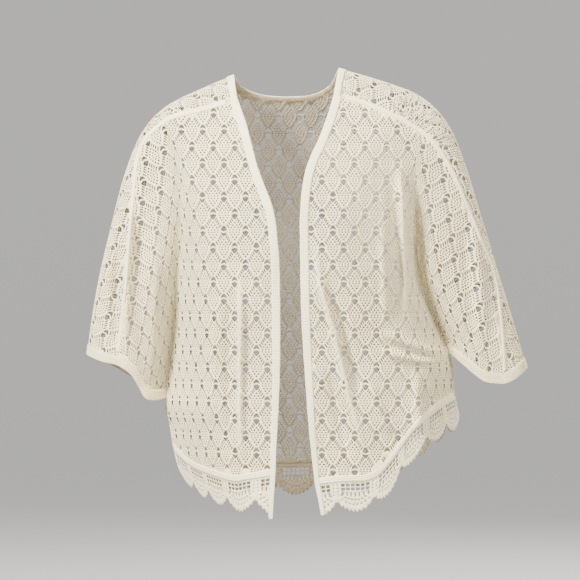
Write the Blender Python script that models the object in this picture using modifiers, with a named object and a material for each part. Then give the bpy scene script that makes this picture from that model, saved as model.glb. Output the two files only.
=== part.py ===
"""Open lace cardigan with dolman sleeves: two fronts, one back, bands, cuffs, hem bands and trims.

Every panel is a flat cut, laid out with the lace rows level, and worn() carries a flat point to its
place on the body. Wearer's left is +X, front is -Y, and the origin is at the nape, where it is held.
"""

import math

import bmesh
import bpy
import numpy as np
from mathutils import Vector
from mathutils.geometry import delaunay_2d_cdt

MM = 0.001
WALL = 1.5 * MM           # knitted lace and plain bands alike
SEAM_GAP = 0.3 * MM
LIFT = WALL + 0.8 * MM   # middle of a band above the middle of the panel that it lies on
CUFF_LIFT = LIFT + 0.6 * MM
EDGE_TURN = 34 * MM       # radius of the turn from front to back over shoulder and arm
TURN_CUT = (math.pi / 2 - 1) * EDGE_TURN

BAND_WIDTH = 13 * MM
CUFF_WIDTH = 15 * MM
HEM_WIDTH = 9 * MM
SEAM_WIDTH = 8 * MM
SCALLOP = 52 * MM
TRIM_MIDDLE = 45 * MM
TRIM_NOTCH = 29 * MM

# Lace repeat: an eye at each corner and centre of a W by H field.
REPEAT_W = 30 * MM
REPEAT_H = 47 * MM
# The larger gap of an eye, across and down from the eye's middle.
EYE_GAP = [(0.0, 1.0), (4.4, -2.8), (0.0, -8.0), (-4.4, -2.8)]
EYES_CUT = {"front_left": 105, "front_right": 105, "back": 90}

# Silhouette over the arms and shoulders, out from the middle and up, in mm.
CONTOUR = {
    "right": [(301, -478), (300, -430), (297, -382), (291, -334), (280, -272), (264, -204), (245, -132),
              (221, -74), (188, -38), (141, -14), (92, 6), (48, 18), (0, 22)],
    "left": [(54, 15), (112, -1), (168, -23), (205, -59), (229, -112), (247, -170), (265, -229),
             (283, -288), (300, -344), (315, -396), (328, -444), (339, -490)],
}

# Fold between body and sleeve down to the underarm, then the side seam: out and up, in mm.
SIDES = {
    "left": {
        "turn_deg": 25.0,
        "front": [(167, -73), (158, -170), (167, -280), (209, -382), (217, -441), (224, -480), (226, -540)],
        "back": [(250, 2), (200, -150), (186, -280), (209, -382), (217, -441), (224, -480), (226, -540)],
        "underarm": -382,
    },
    "right": {
        "turn_deg": 28.0,
        "front": [(189, -57), (168, -140), (172, -294), (188, -445), (182, -483), (174, -533), (150, -600)],
        "back": [(255, -18), (198, -150), (178, -294), (188, -445), (182, -483), (174, -533), (150, -600)],
        "underarm": -445,
    },
}

# Half depth of the body ahead of and behind the middle, by height, in mm.
DEPTH = {
    "front": [(40, 0), (0, 22), (-60, 48), (-130, 72), (-200, 84), (-300, 80), (-420, 74), (-620, 82)],
    "back": [(40, 0), (0, 14), (-60, 36), (-140, 52), (-220, 46), (-320, 36), (-420, 40), (-620, 62)],
}

# Edges as seen from the front, out from the middle and up, in mm.
OPENING = {
    "right": [(87, -28), (74, -66), (59, -123), (46, -158), (36, -188), (31, -227), (28, -279),
              (28, -409), (33, -515), (34, -545)],
    "left": [(47, -23), (35, -62), (21, -97), (12, -116), (4, -147), (0, -190), (0, -238),
             (2, -333), (8, -430), (13, -494), (20, -558)],
}
BAND_TIP = {"right": (38, -609), "left": (29, -604)}
NECK_SIDE = {"right": [(87, -28), (90, -10), (92, 6)], "left": [(47, -23), (50, -4), (54, 15)]}
BACK_NECK = [(92, 6), (80, -10), (50, -20), (18, -22), (-14, -20), (-40, -8), (-54, 15)]
SEAM = {
    "right": [(87, -28), (120, -38), (150, -46), (181, -55), (212, -79), (227, -112), (234, -182),
              (242, -283), (255, -398)],
    "left": [(47, -23), (85, -33), (126, -50), (167, -73), (192, -98), (212, -130), (232, -175),
             (252, -224), (271, -273), (280, -340), (285, -425)],
}
# Cuff: on the front up to the seam, from there to the silhouette, then round the back.
CUFF = {
    "right": {"front": [(188, -445), (203, -448), (216, -445), (226, -427), (238, -409), (255, -398)],
              "over": [(255, -398), (278, -393), (298, -384)],
              "back": [(298, -384), (270, -397), (235, -418), (205, -440), (188, -445)]},
    "left": {"front": [(209, -382), (214, -385), (235, -404), (258, -422), (285, -425)],
             "over": [(285, -425), (303, -416), (318, -402)],
             "back": [(318, -402), (300, -413), (270, -415), (236, -402), (209, -382)]},
}
HEM = {
    "right": [(34, -545), (76, -552), (94, -554), (147, -538), (171, -520), (177, -515)],
    "left": [(20, -558), (56, -554), (98, -551), (126, -525), (157, -483), (190, -455), (217, -441)],
}
BACK_HEM = [(-177, -515), (-150, -527), (-90, -538), (0, -540), (90, -530), (150, -500), (217, -441)]


def smooth_path(rows, steps):
    """Points along a soft curve through the rows."""
    p = np.array(rows, float)
    p = np.vstack([2 * p[0] - p[1], p, 2 * p[-1] - p[-2]])
    out = []
    for i in range(1, len(p) - 2):
        for k in range(steps):
            t = k / steps
            a, b, c, d = p[i - 1], p[i], p[i + 1], p[i + 2]
            out.append(0.5 * (2 * b + (c - a) * t + (2 * a - 5 * b + 4 * c - d) * t * t
                              + (3 * b - a - 3 * c + d) * t ** 3))
    out.append(p[-2])
    return np.array(out)


def even_path(points, spacing):
    """The same line with points at an even spacing."""
    p = np.array(points, float)
    run = np.concatenate([[0], np.cumsum(np.linalg.norm(np.diff(p, axis=0), axis=1))])
    at = np.linspace(0, run[-1], max(2, int(round(run[-1] / spacing)) + 1))
    return np.column_stack([np.interp(at, run, p[:, k]) for k in range(p.shape[1])])


def by_height(rows, z):
    """A value that changes softly with height, from rows of (value, height) from the top down."""
    path = smooth_path(rows, 8)[::-1] * MM
    return np.interp(z, path[:, 1], path[:, 0])


OTHER = {"front": "back", "back": "front"}


def ease(x):
    x = np.clip(x, 0, 1)
    return x * x * (3 - 2 * x)


def mirrored(rows, side):
    return [((x if side == "left" else -x), z) for x, z in rows]


def outline_of_garment():
    rows = mirrored(CONTOUR["right"], "right") + CONTOUR["left"]
    return smooth_path(rows, 12) * MM


EDGE = outline_of_garment()


def from_edge(points):
    """Distance inside the silhouette, and the nearest point and inward direction on it."""
    a, b = EDGE[:-1], EDGE[1:]
    ab = b - a
    length2 = (ab ** 2).sum(1)
    ap = points[:, None, :] - a[None]
    t = np.clip((ap * ab[None]).sum(2) / length2, 0, 1)
    foot = a[None] + ab[None] * t[:, :, None]
    gap = points[:, None, :] - foot
    far = np.linalg.norm(gap, axis=2)
    k = far.argmin(1)
    i = np.arange(len(points))
    foot, far = foot[i, k], far[i, k]
    inward = np.column_stack([ab[k, 1], -ab[k, 0]])
    inward /= np.linalg.norm(inward, axis=1)[:, None]
    sign = np.sign((gap[i, k] * inward).sum(1))
    sign[sign == 0] = 1
    toward = gap[i, k] / np.maximum(far, 1e-9)[:, None] * sign[:, None]
    toward = np.where((far > 1e-6)[:, None], toward, inward)
    return far * sign, foot, toward


def fold_spread(side, face, z):
    """Spare cloth on each side of the fold under the arm, by height."""
    s = SIDES[side]
    top, low = s[face][0][1] * MM, s["underarm"] * MM
    return np.tan(math.radians(s["turn_deg"]) / 2) * np.clip(top - z, 0, top - low)


FOLD_SLOPE = 0.34
FOLD_SHARE = 0.75 * (1 - FOLD_SLOPE)


def across_fold(dist, spread):
    """Seen distance from the fold's bottom for a distance along the cloth."""
    run = np.maximum(spread / FOLD_SHARE, 1e-4)
    x = np.abs(dist) / run
    near = run * (FOLD_SLOPE * x + (1 - FOLD_SLOPE) * x ** 4 / 4)
    return np.where(x < 1, near, np.abs(dist) - FOLD_SHARE * run) * np.sign(dist)


def half_drape(u, v, side, face):
    """Flat point of one half, out and up, to its seen place, with its distance along to the fold."""
    s = SIDES[side]
    turn = math.radians(s["turn_deg"])
    ku, kv = s[face][0][0] * MM, s[face][0][1] * MM
    body_line = by_height(s[face], v)
    body_spread = fold_spread(side, face, v)
    body_dist = body_line + body_spread - u
    body = np.column_stack([body_line - across_fold(body_dist, body_spread), v])
    a, b = u - ku, v - kv
    su = ku + a * math.cos(turn) + b * math.sin(turn)
    sv = kv - a * math.sin(turn) + b * math.cos(turn)
    arm_line = by_height(s[face], sv)
    arm_spread = fold_spread(side, face, sv)
    arm_dist = su - arm_line + arm_spread
    arm = np.column_stack([arm_line + across_fold(arm_dist, arm_spread), sv])
    past = (arm_dist - body_dist) / 2 - np.clip(s["underarm"] * MM - v, 0, 1)
    arm_share = ease(0.5 + past / (60 * MM))
    seen = body * (1 - arm_share)[:, None] + arm * arm_share[:, None]
    return seen, body_dist, arm_dist


def drape(flat, face):
    """Flat points, wearer's left as +X, to seen places, with the two distances to the fold."""
    x, v = flat[:, 0], flat[:, 1]
    seen = np.zeros_like(flat)
    dist = np.zeros((len(flat), 2))
    for side, sign in (("left", 1), ("right", -1)):
        on = (x * sign >= 0)
        if on.any():
            place, body_dist, arm_dist = half_drape(x[on] * sign, v[on], side, face)
            place[:, 0] *= sign
            seen[on], dist[on] = place, np.column_stack([body_dist, arm_dist])
    return seen, dist


def undrape(seen, face):
    """The flat points that drape() carries to the seen places."""
    flat = seen.copy()
    for side, sign in (("left", 1), ("right", -1)):
        s = SIDES[side]
        on = seen[:, 0] * sign >= 0
        x, z = seen[on, 0] * sign, seen[on, 1]
        line = by_height(s[face], z)
        spread = fold_spread(side, face, z)
        turn = math.radians(s["turn_deg"])
        ku, kv = s[face][0][0] * MM, s[face][0][1] * MM
        reach = np.linspace(0, 0.6, 1201)
        flat_on = np.zeros((len(x), 2))
        for i in range(len(x)):
            table = across_fold(reach, np.full_like(reach, spread[i]))
            along = np.interp(abs(x[i] - line[i]), table, reach)
            if x[i] <= line[i] + 0.5 * MM:
                flat_on[i] = (line[i] + spread[i] - along * np.sign(line[i] - x[i] + 1e-12), z[i])
            else:
                a, b = line[i] - spread[i] + along - ku, z[i] - kv
                flat_on[i] = (ku + a * math.cos(turn) - b * math.sin(turn),
                              kv + a * math.sin(turn) + b * math.cos(turn))
        flat_on[:, 0] *= sign
        flat[on] = flat_on
    step = 0.2 * MM
    best, best_far = flat.copy(), np.full(len(flat), 1e9)
    for _ in range(14):
        now = drape(flat, face)[0]
        off = seen - now
        far = np.linalg.norm(off, axis=1)
        better = far < best_far
        best[better], best_far[better] = flat[better], far[better]
        du = (drape(flat + [step, 0], face)[0] - now) / step
        dv = (drape(flat + [0, step], face)[0] - now) / step
        det = du[:, 0] * dv[:, 1] - du[:, 1] * dv[:, 0]
        det = np.where(np.abs(det) < 0.05, 0.05, det)
        move = np.column_stack([(off[:, 0] * dv[:, 1] - off[:, 1] * dv[:, 0]) / det,
                                (du[:, 0] * off[:, 1] - du[:, 1] * off[:, 0]) / det])
        size = np.linalg.norm(move, axis=1)
        move *= np.minimum(1, 8 * MM / np.maximum(size, 1e-9))[:, None]
        flat = flat + 0.8 * move
    return best


def worn_mid(flat, face):
    """Middle of the cloth in space for flat points of a panel."""
    seen, dist = drape(flat, face)
    inside, foot, inward = from_edge(seen)
    along = inside + TURN_CUT
    turn = np.clip(np.abs(along) / EDGE_TURN, 0, math.pi / 2)
    in_turn = np.abs(along) < EDGE_TURN * math.pi / 2
    depth_in = np.where(in_turn, EDGE_TURN * (1 - np.cos(turn)), np.abs(along) - TURN_CUT)
    own = along >= 0
    place = np.where((own & ~in_turn)[:, None], seen, foot + inward * depth_in[:, None])
    z = place[:, 1]
    out = np.zeros(len(flat))
    for side, sign in (("left", 1), ("right", -1)):
        on = place[:, 0] * sign >= 0
        s = SIDES[side]
        x = place[on, 0] * sign
        line = np.where(own[on], by_height(s[face], z[on]), by_height(s[OTHER[face]], z[on]))
        front = by_height([(d, h) for h, d in DEPTH["front"]], z[on])
        back = by_height([(d, h) for h, d in DEPTH["back"]], z[on])
        if face == "front":
            body = np.where(own[on], front, back)
        else:
            body = np.where(own[on], back, front)
        far_out = ease(1.25 - x / np.maximum(line, 0.05))
        inward_share = ease(depth_in[on] / 0.10)
        half = EDGE_TURN + body * inward_share * (0.25 + 0.75 * far_out)
        rim = np.where(in_turn[on], np.sin(turn[on]), 1)
        y = half * rim
        top, low = s[face][0][1] * MM, s["underarm"] * MM
        fold = ease((top - z[on]) / (top - low)) ** 1.1
        spread = fold_spread(side, face, z[on])
        run = np.maximum(spread / FOLD_SHARE, 1e-4)
        soft = 14 * MM * ease((z[on] - low + 4 * MM) / (24 * MM)) + 1e-6
        to_fold = np.sqrt(np.abs(dist[on]).min(1) ** 2 + soft ** 2) - soft
        near = 1 - np.sin(math.pi / 2 * np.clip(to_fold / run, 0, 1))
        at_seam = 0.5 * MM + 0.9 * MM * ease((z[on] - low + 12 * MM) / (12 * MM))
        clear_of_edge = ease((depth_in[on] - 46 * MM) / (34 * MM))
        y = y + (at_seam - y) * near * fold * own[on] * clear_of_edge
        out[on] = y
    toward = np.where(own, 1, -1) * (-1 if face == "front" else 1)
    return np.column_stack([place[:, 0], out * toward, place[:, 1]])


def worn(flat, face, lift=0.0):
    """Points of the cloth in space, moved out from its middle by lift."""
    flat = np.asarray(flat, float)
    mid = worn_mid(flat, face)
    if not np.any(lift):
        return mid
    step = 0.4 * MM
    du = worn_mid(flat + [step, 0], face) - worn_mid(flat - [step, 0], face)
    dv = worn_mid(flat + [0, step], face) - worn_mid(flat - [0, step], face)
    out = np.cross(du, dv) * (1 if face == "front" else -1)
    out /= np.maximum(np.linalg.norm(out, axis=1), 1e-12)[:, None]
    inward_facing = (out[:, 1] * np.sign(mid[:, 1]) < -0.2) & (np.abs(mid[:, 1]) > 8 * MM)
    out[inward_facing] *= -1
    return mid + out * np.asarray(lift).reshape(-1, 1)


def in_flat(seen, face, own=True, shift=0.0):
    """Flat points of a panel for seen places on its own side, or on the other past the silhouette."""
    inside, foot, inward = from_edge(seen)
    inside = np.maximum(inside, 0)
    along = EDGE_TURN * np.arccos(np.clip(1 - inside / EDGE_TURN, -1, 1))
    along = np.where(inside > EDGE_TURN, inside + TURN_CUT, along)
    along = (along if own else -along) + shift
    near = (along < EDGE_TURN * math.pi / 2) | (shift != 0)
    cut = np.where(near[:, None], foot + inward * (along - TURN_CUT)[:, None], seen)
    return undrape(cut, face)


def seen_path(rows, side, spacing):
    return even_path(smooth_path(mirrored(rows, side), 6) * MM, spacing)


def side_seam(side, face, spacing):
    low = SIDES[side]["underarm"] * MM
    end = HEM[side][-1][1] * MM
    z = np.linspace(low, end, max(3, int((low - end) / spacing)))
    x = by_height(SIDES[side][face], z) * (1 if side == "left" else -1)
    return undrape(np.column_stack([x, z]), face)


def join(*runs):
    """One closed line from runs that meet end to end."""
    out = [np.asarray(r) for r in runs]
    points = np.vstack([r[:-1] for r in out])
    return points


def opening_path(side, to_tip=False):
    """Flat line up and down a front edge, with the run beside the trim when it goes to the tip."""
    seen = seen_path(OPENING[side], side, 15 * MM)
    if to_tip:
        tip = np.array(mirrored([BAND_TIP[side]], side)) * MM
        seen = np.vstack([seen, seen[-1:] + (tip - seen[-1:]) / 3, seen[-1:] + (tip - seen[-1:]) / 1.5, tip])
    return in_flat(seen, "front")


def flat_line(rows, side, face, own, spacing):
    """Flat line for seen rows, with even steps along the cloth."""
    return even_path(in_flat(seen_path(rows, side, 2 * MM), face, own), spacing)


def neck_path():
    """Flat line on the back from the left seam over the shoulder, round the neck and down."""
    left = flat_line(NECK_SIDE["left"], "left", "back", False, 12 * MM)
    neck = flat_line(BACK_NECK, "right", "back", True, 12 * MM)[::-1]
    right = flat_line(NECK_SIDE["right"], "right", "back", False, 12 * MM)[::-1]
    return np.vstack([left[:-1], neck, right[1:]])


def seam_path(side, face, shift=0.0):
    return in_flat(seen_path(SEAM[side], side, 14 * MM), face, face == "front",
                   shift if face == "front" else -shift)


def cuff_path(side, part):
    face = "front" if part == "front" else "back"
    return flat_line(CUFF[side][part], side, face, part != "over", 11 * MM)


def scallops(total, name):
    """Whole scallops across the back, and one half more from the opening of a front."""
    return round(total / SCALLOP) if name == "back" else round(total / SCALLOP - 0.5) + 0.5


def hem_path(name):
    """Flat hem with six even steps to a scallop, and how far along each point is."""
    if name == "back":
        flat = undrape(smooth_path(BACK_HEM, 6) * MM, "back")
    else:
        flat = undrape(seen_path(HEM[name], name, 6 * MM), "front")
    run = np.concatenate([[0], np.cumsum(np.linalg.norm(np.diff(flat, axis=0), axis=1))])
    at = np.linspace(0, run[-1], int(6 * scallops(run[-1], name)) + 1)
    return np.column_stack([np.interp(at, run, flat[:, k]) for k in (0, 1)]), at


def front_outline(side):
    """Flat edges of a front: opening, hem, side seam, cuff, then the seam back to the neck."""
    return {"opening": opening_path(side)[1:], "hem": hem_path(side)[0],
            "side": side_seam(side, "front", 12 * MM)[::-1], "cuff": cuff_path(side, "front")[:-1],
            "seam": seam_path(side, "front", SEAM_GAP)[::-1]}


def back_outline():
    """Flat edges of the back, from the left neck point round by the left sleeve."""
    return {"neck": neck_path()[::-1][1:-1],
            "seam_left": seam_path("left", "back", -SEAM_GAP), "over_left": cuff_path("left", "over")[1:],
            "cuff_left": cuff_path("left", "back"), "side_left": side_seam("left", "back", 12 * MM),
            "hem": hem_path("back")[0][::-1],
            "side_right": side_seam("right", "back", 12 * MM)[::-1],
            "cuff_right": cuff_path("right", "back")[::-1],
            "over_right": cuff_path("right", "over")[::-1][:-1],
            "seam_right": seam_path("right", "back", -SEAM_GAP)[::-1]}


def closed_line(edges, least):
    """The edges as one ring without points closer than least."""
    points = np.vstack(list(edges.values()))
    keep = [points[0]]
    for p in points[1:]:
        if np.linalg.norm(p - keep[-1]) > least:
            keep.append(p)
    while np.linalg.norm(keep[-1] - keep[0]) < least:
        keep.pop()
    return np.array(keep)


def within(points, ring):
    """Which points are inside the ring, and how far each is from its line."""
    a, b = ring, np.roll(ring, -1, axis=0)
    inside = np.zeros(len(points), bool)
    far = np.full(len(points), 1e9)
    for p, q in zip(a, b):
        cross = (p[1] > points[:, 1]) != (q[1] > points[:, 1])
        at = (q[0] - p[0]) * (points[:, 1] - p[1]) / ((q[1] - p[1]) or 1e-12) + p[0]
        inside ^= cross & (points[:, 0] < at)
        d = q - p
        t = np.clip(((points - p) @ d) / max(d @ d, 1e-12), 0, 1)
        far = np.minimum(far, np.linalg.norm(points - p - t[:, None] * d, axis=1))
    return inside, far


def eyes(ring):
    """Middles of the lace eyes that fall in the ring's box, in half-drop rows."""
    low, high = ring.min(0), ring.max(0)
    out = []
    for j in range(math.floor(low[1] / REPEAT_H * 2), math.ceil(high[1] / REPEAT_H * 2) + 1):
        for i in range(math.floor(low[0] / REPEAT_W) - 1, math.ceil(high[0] / REPEAT_W) + 1):
            out.append(((i + 0.5 * (j % 2)) * REPEAT_W, j * REPEAT_H / 2))
    return np.array(out)


def turned_left(ring):
    """The ring in the order that has its inside to the left."""
    x, y = ring[:, 0], ring[:, 1]
    area = np.sum(x * np.roll(y, -1) - np.roll(x, -1) * y)
    return ring if area > 0 else ring[::-1]


def cut_sheet(ring, holes, points):
    """Triangles of the flat ring with the holes left out and the points used."""
    ring, holes = turned_left(ring), [turned_left(h) for h in holes]
    verts = [Vector(p) for p in ring]
    faces = [list(range(len(ring)))]
    for hole in holes:
        faces.append(list(range(len(verts), len(verts) + len(hole))))
        verts.extend(Vector(p) for p in hole)
    verts.extend(Vector(p) for p in points)
    out = delaunay_2d_cdt(verts, [], faces, 1, 1e-7, True)
    tris = [f for f, ids in zip(out[2], out[5]) if ids and max(ids) == 0]
    used = sorted({i for f in tris for i in f})
    index = {old: new for new, old in enumerate(used)}
    flat = np.array([out[0][i][:] for i in used])
    return flat, [[index[i] for i in f] for f in tris]


def material(name, colour, rough):
    mat = bpy.data.materials.new(name)
    mat.use_nodes = True
    shade = mat.node_tree.nodes["Principled BSDF"]
    shade.inputs["Base Color"].default_value = (*colour, 1)
    shade.inputs["Roughness"].default_value = rough
    shade.inputs["Metallic"].default_value = 0.0
    return mat


def solid(name, points, faces, mat, home):
    """A wall of even thickness on both sides of a surface."""
    mesh = bpy.data.meshes.new(name)
    mesh.from_pydata([tuple(p) for p in points], [], faces)
    mesh.validate()
    mesh.materials.append(mat)
    item = bpy.data.objects.new(name, mesh)
    home.objects.link(item)
    wall = item.modifiers.new("wall", "SOLIDIFY")
    wall.thickness = WALL
    wall.offset = 0
    wall.use_even_offset = False
    return item


def turn_points(face):
    """Flat points in rows along the turn from front to back, for an even turned edge."""
    line = even_path(EDGE, 30 * MM)
    t = np.gradient(line, axis=0)
    t /= np.linalg.norm(t, axis=1)[:, None]
    inward = np.column_stack([t[:, 1], -t[:, 0]])
    rows = [line + inward * (k * EDGE_TURN * math.pi / 4 - TURN_CUT) for k in range(-4, 3)]
    return undrape(np.vstack(rows), face)


def panel(name, edges, face, bands, mat, home):
    """A lace panel cut through at its largest eyes, with points under each band that lies on it."""
    ring = closed_line(edges, 2.0 * MM)
    middle = eyes(ring)
    inside, far = within(middle, ring)
    in_turn = from_edge(drape(middle, face)[0])[0] < 40 * MM
    clear = inside & (far > 22 * MM) & ~in_turn
    rank = np.abs(middle[:, 0]) + 0.5 * np.abs(middle[:, 1] + 0.28)
    cut = [i for i in np.argsort(rank) if clear[i]][:EYES_CUT[name]]
    holes = [middle[i] + np.array(EYE_GAP) * MM for i in cut]
    whole = np.ones(len(middle), bool)
    whole[cut] = False
    points = [middle[inside & (far > 19 * MM) & whole & ~in_turn]]
    between = middle + [REPEAT_W / 2, 0]
    seen, dist = drape(between, face)
    inside, far = within(between, ring)
    bent = (np.abs(dist).min(1) < 50 * MM) & (from_edge(seen)[0] >= 40 * MM)
    points.append(between[inside & (far > 19 * MM) & bent])
    turned = turn_points(face)
    inside, far = within(turned, ring)
    points.append(turned[inside & (far > 18 * MM)])
    for rows in bands:
        inside, far = within(rows, ring)
        points.append(rows[inside & (far > 1 * MM)])
    flat, tris = cut_sheet(ring, holes, np.vstack(points))
    if face == "back":
        tris = [f[::-1] for f in tris]
    return solid(name, worn(flat, face), tris, mat, home)


def strip(name, rows, mat, home):
    """A band from rows of points, each row the same count."""
    n, m = rows.shape[:2]
    faces = [(i * m + k, i * m + k + 1, (i + 1) * m + k + 1, (i + 1) * m + k)
             for i in range(n - 1) for k in range(m - 1)]
    return solid(name, rows.reshape(-1, 3), faces, mat, home)


def beside(path, offsets, left):
    """Points beside a flat path, at offsets to its left or right."""
    t = np.gradient(path, axis=0)
    t /= np.linalg.norm(t, axis=1)[:, None]
    n = np.column_stack([-t[:, 1], t[:, 0]]) * (1 if left else -1)
    return [path + n * o for o in offsets]


def lifted(lines, face, lift=LIFT):
    return np.stack([worn(p, face, lift) for p in lines], axis=1)


ACROSS_BAND = (0.3 * MM, BAND_WIDTH)
ACROSS_CUFF = (0.3 * MM, CUFF_WIDTH)


def band_lines(side, to_tip):
    return beside(opening_path(side, to_tip), ACROSS_BAND, side == "left")


def neck_lines():
    return beside(neck_path(), ACROSS_BAND, True)


def front_band(mat, home):
    """One plain band up a front edge, round the back of the neck and down the other front."""
    left, right = (lifted(band_lines(side, True), "front") for side in ("left", "right"))
    strip("front_band", np.vstack([left[::-1][:-1], lifted(neck_lines(), "back"), right[1:]]), mat, home)


def hang(place, face, drop):
    """Flat points straight below hem points, kept by the side seam and by the front edge."""
    drop = np.broadcast_to(drop, len(place))
    out = np.zeros_like(place)
    for side, sign in (("left", 1), ("right", -1)):
        on = place[:, 0] * sign >= 0
        s, u, v = SIDES[side], place[on, 0] * sign, place[on, 1]
        low = v - drop[on]
        before = by_height(s[face], v) + fold_spread(side, face, v)
        after = by_height(s[face], low) + fold_spread(side, face, low)
        u = u + (after - before) * np.clip(u / before, 0, 1) ** 3
        if face == "front":
            rows = OPENING[side] + [BAND_TIP[side], (BAND_TIP[side][0] + 1, BAND_TIP[side][1] - 20)]
            slip = by_height(rows, low) - by_height(rows, v)
            u = u + slip * np.clip(1 - (u - OPENING[side][-1][0] * MM) / (60 * MM), 0, 1)
        out[on] = np.column_stack([sign * u, low])
    return out


def hem_lines(name, face):
    path = hem_path(name)[0]
    return [hang(path, face, HEM_WIDTH * share) for share in (-0.6, 0.4)]


def hem_pieces(name, plain, lace, home):
    """The plain hem band over the panel's edge and the scalloped trim below it."""
    face = "back" if name == "back" else "front"
    path, at = hem_path(name)
    turns = math.pi * scallops(at[-1], name) * at / at[-1]
    wave = np.abs(np.sin(turns) if name == "back" else np.cos(turns)) ** 0.7
    drop = TRIM_NOTCH + (TRIM_MIDDLE - TRIM_NOTCH) * wave
    top = np.full(len(at), SEAM_GAP)
    under = np.full(len(at), HEM_WIDTH * 0.4)
    rows = [worn(hang(path, face, d), face) for d in (top, under, drop * 0.5, drop)]
    label = "back" if name == "back" else "front_" + name
    strip("trim_" + label, np.stack(rows, axis=1), lace, home)
    rows = lifted(hem_lines(name, face), face)
    first = 6 * MM if name == "back" else BAND_WIDTH + 1 * MM
    rows = rows[(at > first) & (at < at[-1] - 6 * MM)]
    strip("hem_" + label, rows, plain, home)


def cuff_lines(side, part):
    left = (side == "left") == (part == "front")
    return beside(cuff_path(side, part), ACROSS_CUFF, left)


def cuff(side, mat, home):
    """The plain hem round the end of a sleeve, from the underarm round the front to the back."""
    front = lifted(cuff_lines(side, "front"), "front", CUFF_LIFT)
    over = lifted(cuff_lines(side, "over"), "back", CUFF_LIFT)
    rear = lifted(cuff_lines(side, "back"), "back", CUFF_LIFT)
    strip("cuff_" + side, np.vstack([front[1:-1], (front[-1:] + over[:1]) / 2, over[1:], rear[1:-1]]), mat, home)


def shoulder_seam(side, mat, home):
    """The plain tape over the seam from the neck to the cuff."""
    lines = [seam_path(side, "front", shift) for shift in (-SEAM_WIDTH / 2, 0, SEAM_WIDTH / 2)]
    rows = lifted(lines, "front")
    run = np.concatenate([[0], np.cumsum(np.linalg.norm(np.diff(rows[:, 1], axis=0), axis=1))])
    keep = (run > BAND_WIDTH + 2 * MM) & (run < run[-1] - CUFF_WIDTH - 2 * MM)
    strip("seam_" + side, rows[keep], mat, home)


def main():
    for item in list(bpy.data.objects):
        bpy.data.objects.remove(item, do_unlink=True)
    home = bpy.data.collections.new("lace_cardigan")
    bpy.context.scene.collection.children.link(home)
    lace = material("ivory_lace", (0.86, 0.82, 0.72), 0.85)
    plain = material("ivory_band", (0.88, 0.85, 0.76), 0.8)
    on_back = neck_lines() + hem_lines("back", "back")
    for side in ("left", "right"):
        bands = (band_lines(side, False) + hem_lines(side, "front") + cuff_lines(side, "front")
                 + [seam_path(side, "front", SEAM_WIDTH / 2)])
        on_back += cuff_lines(side, "over") + cuff_lines(side, "back")
        on_back.append(seam_path(side, "back", -SEAM_WIDTH / 2))
        panel("front_" + side, front_outline(side), "front", bands, lace, home)
        hem_pieces(side, plain, lace, home)
        cuff(side, plain, home)
        shoulder_seam(side, plain, home)
    panel("back", back_outline(), "back", on_back, lace, home)
    hem_pieces("back", plain, lace, home)
    front_band(plain, home)


main()
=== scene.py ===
"""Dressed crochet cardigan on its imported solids: open lace, plain bands, scalloped trims, a studio.

Flat cuts and their way onto the body are the same as in the solids: wearer's left is +X, front is -Y.
"""

import math

import bpy
import numpy as np
from bpy.props import FloatProperty, FloatVectorProperty, IntProperty, PointerProperty
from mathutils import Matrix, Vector
from mathutils.geometry import delaunay_2d_cdt


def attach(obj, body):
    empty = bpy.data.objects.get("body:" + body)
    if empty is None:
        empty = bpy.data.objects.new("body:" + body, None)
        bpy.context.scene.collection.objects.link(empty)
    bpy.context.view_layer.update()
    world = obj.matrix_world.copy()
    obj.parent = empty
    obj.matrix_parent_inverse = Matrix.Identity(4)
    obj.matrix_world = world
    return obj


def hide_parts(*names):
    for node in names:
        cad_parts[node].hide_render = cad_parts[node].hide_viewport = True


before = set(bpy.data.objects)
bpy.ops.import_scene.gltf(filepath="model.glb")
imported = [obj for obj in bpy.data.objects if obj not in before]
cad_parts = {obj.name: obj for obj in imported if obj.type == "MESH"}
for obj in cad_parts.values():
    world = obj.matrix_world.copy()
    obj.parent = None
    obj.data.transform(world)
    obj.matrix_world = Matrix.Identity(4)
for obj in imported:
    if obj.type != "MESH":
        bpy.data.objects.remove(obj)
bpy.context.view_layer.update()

bl_info = {
    "name": "Crochet cardigan",
    "version": (1, 0, 0),
    "blender": (4, 5, 0),
    "location": "View3D > Sidebar > Cardigan",
    "description": "Builds a lace cardigan from flat cuts in its worn shape",
    "category": "Add Mesh",
}

MM = 0.001
SEAM_GAP = 0.3 * MM
EDGE_TURN = 34 * MM           # radius of the turn over shoulder and arm
TURN_CUT = (math.pi / 2 - 1) * EDGE_TURN

BAND_WIDTH = 13 * MM
CUFF_WIDTH = 15 * MM
HEM_WIDTH = 9 * MM
SEAM_WIDTH = 8 * MM
SCALLOP = 52 * MM
TRIM_MIDDLE = 45 * MM
TRIM_NOTCH = 29 * MM

# Lace repeat: an eye at each corner and centre of a W by H field.
REPEAT_W = 30 * MM
REPEAT_H = 47 * MM

# Silhouette over the arms and shoulders, out from the middle and up, in mm.
CONTOUR = {
    "right": [(301, -478), (300, -430), (297, -382), (291, -334), (280, -272), (264, -204), (245, -132),
              (221, -74), (188, -38), (141, -14), (92, 6), (48, 18), (0, 22)],
    "left": [(54, 15), (112, -1), (168, -23), (205, -59), (229, -112), (247, -170), (265, -229),
             (283, -288), (300, -344), (315, -396), (328, -444), (339, -490)],
}

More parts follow.
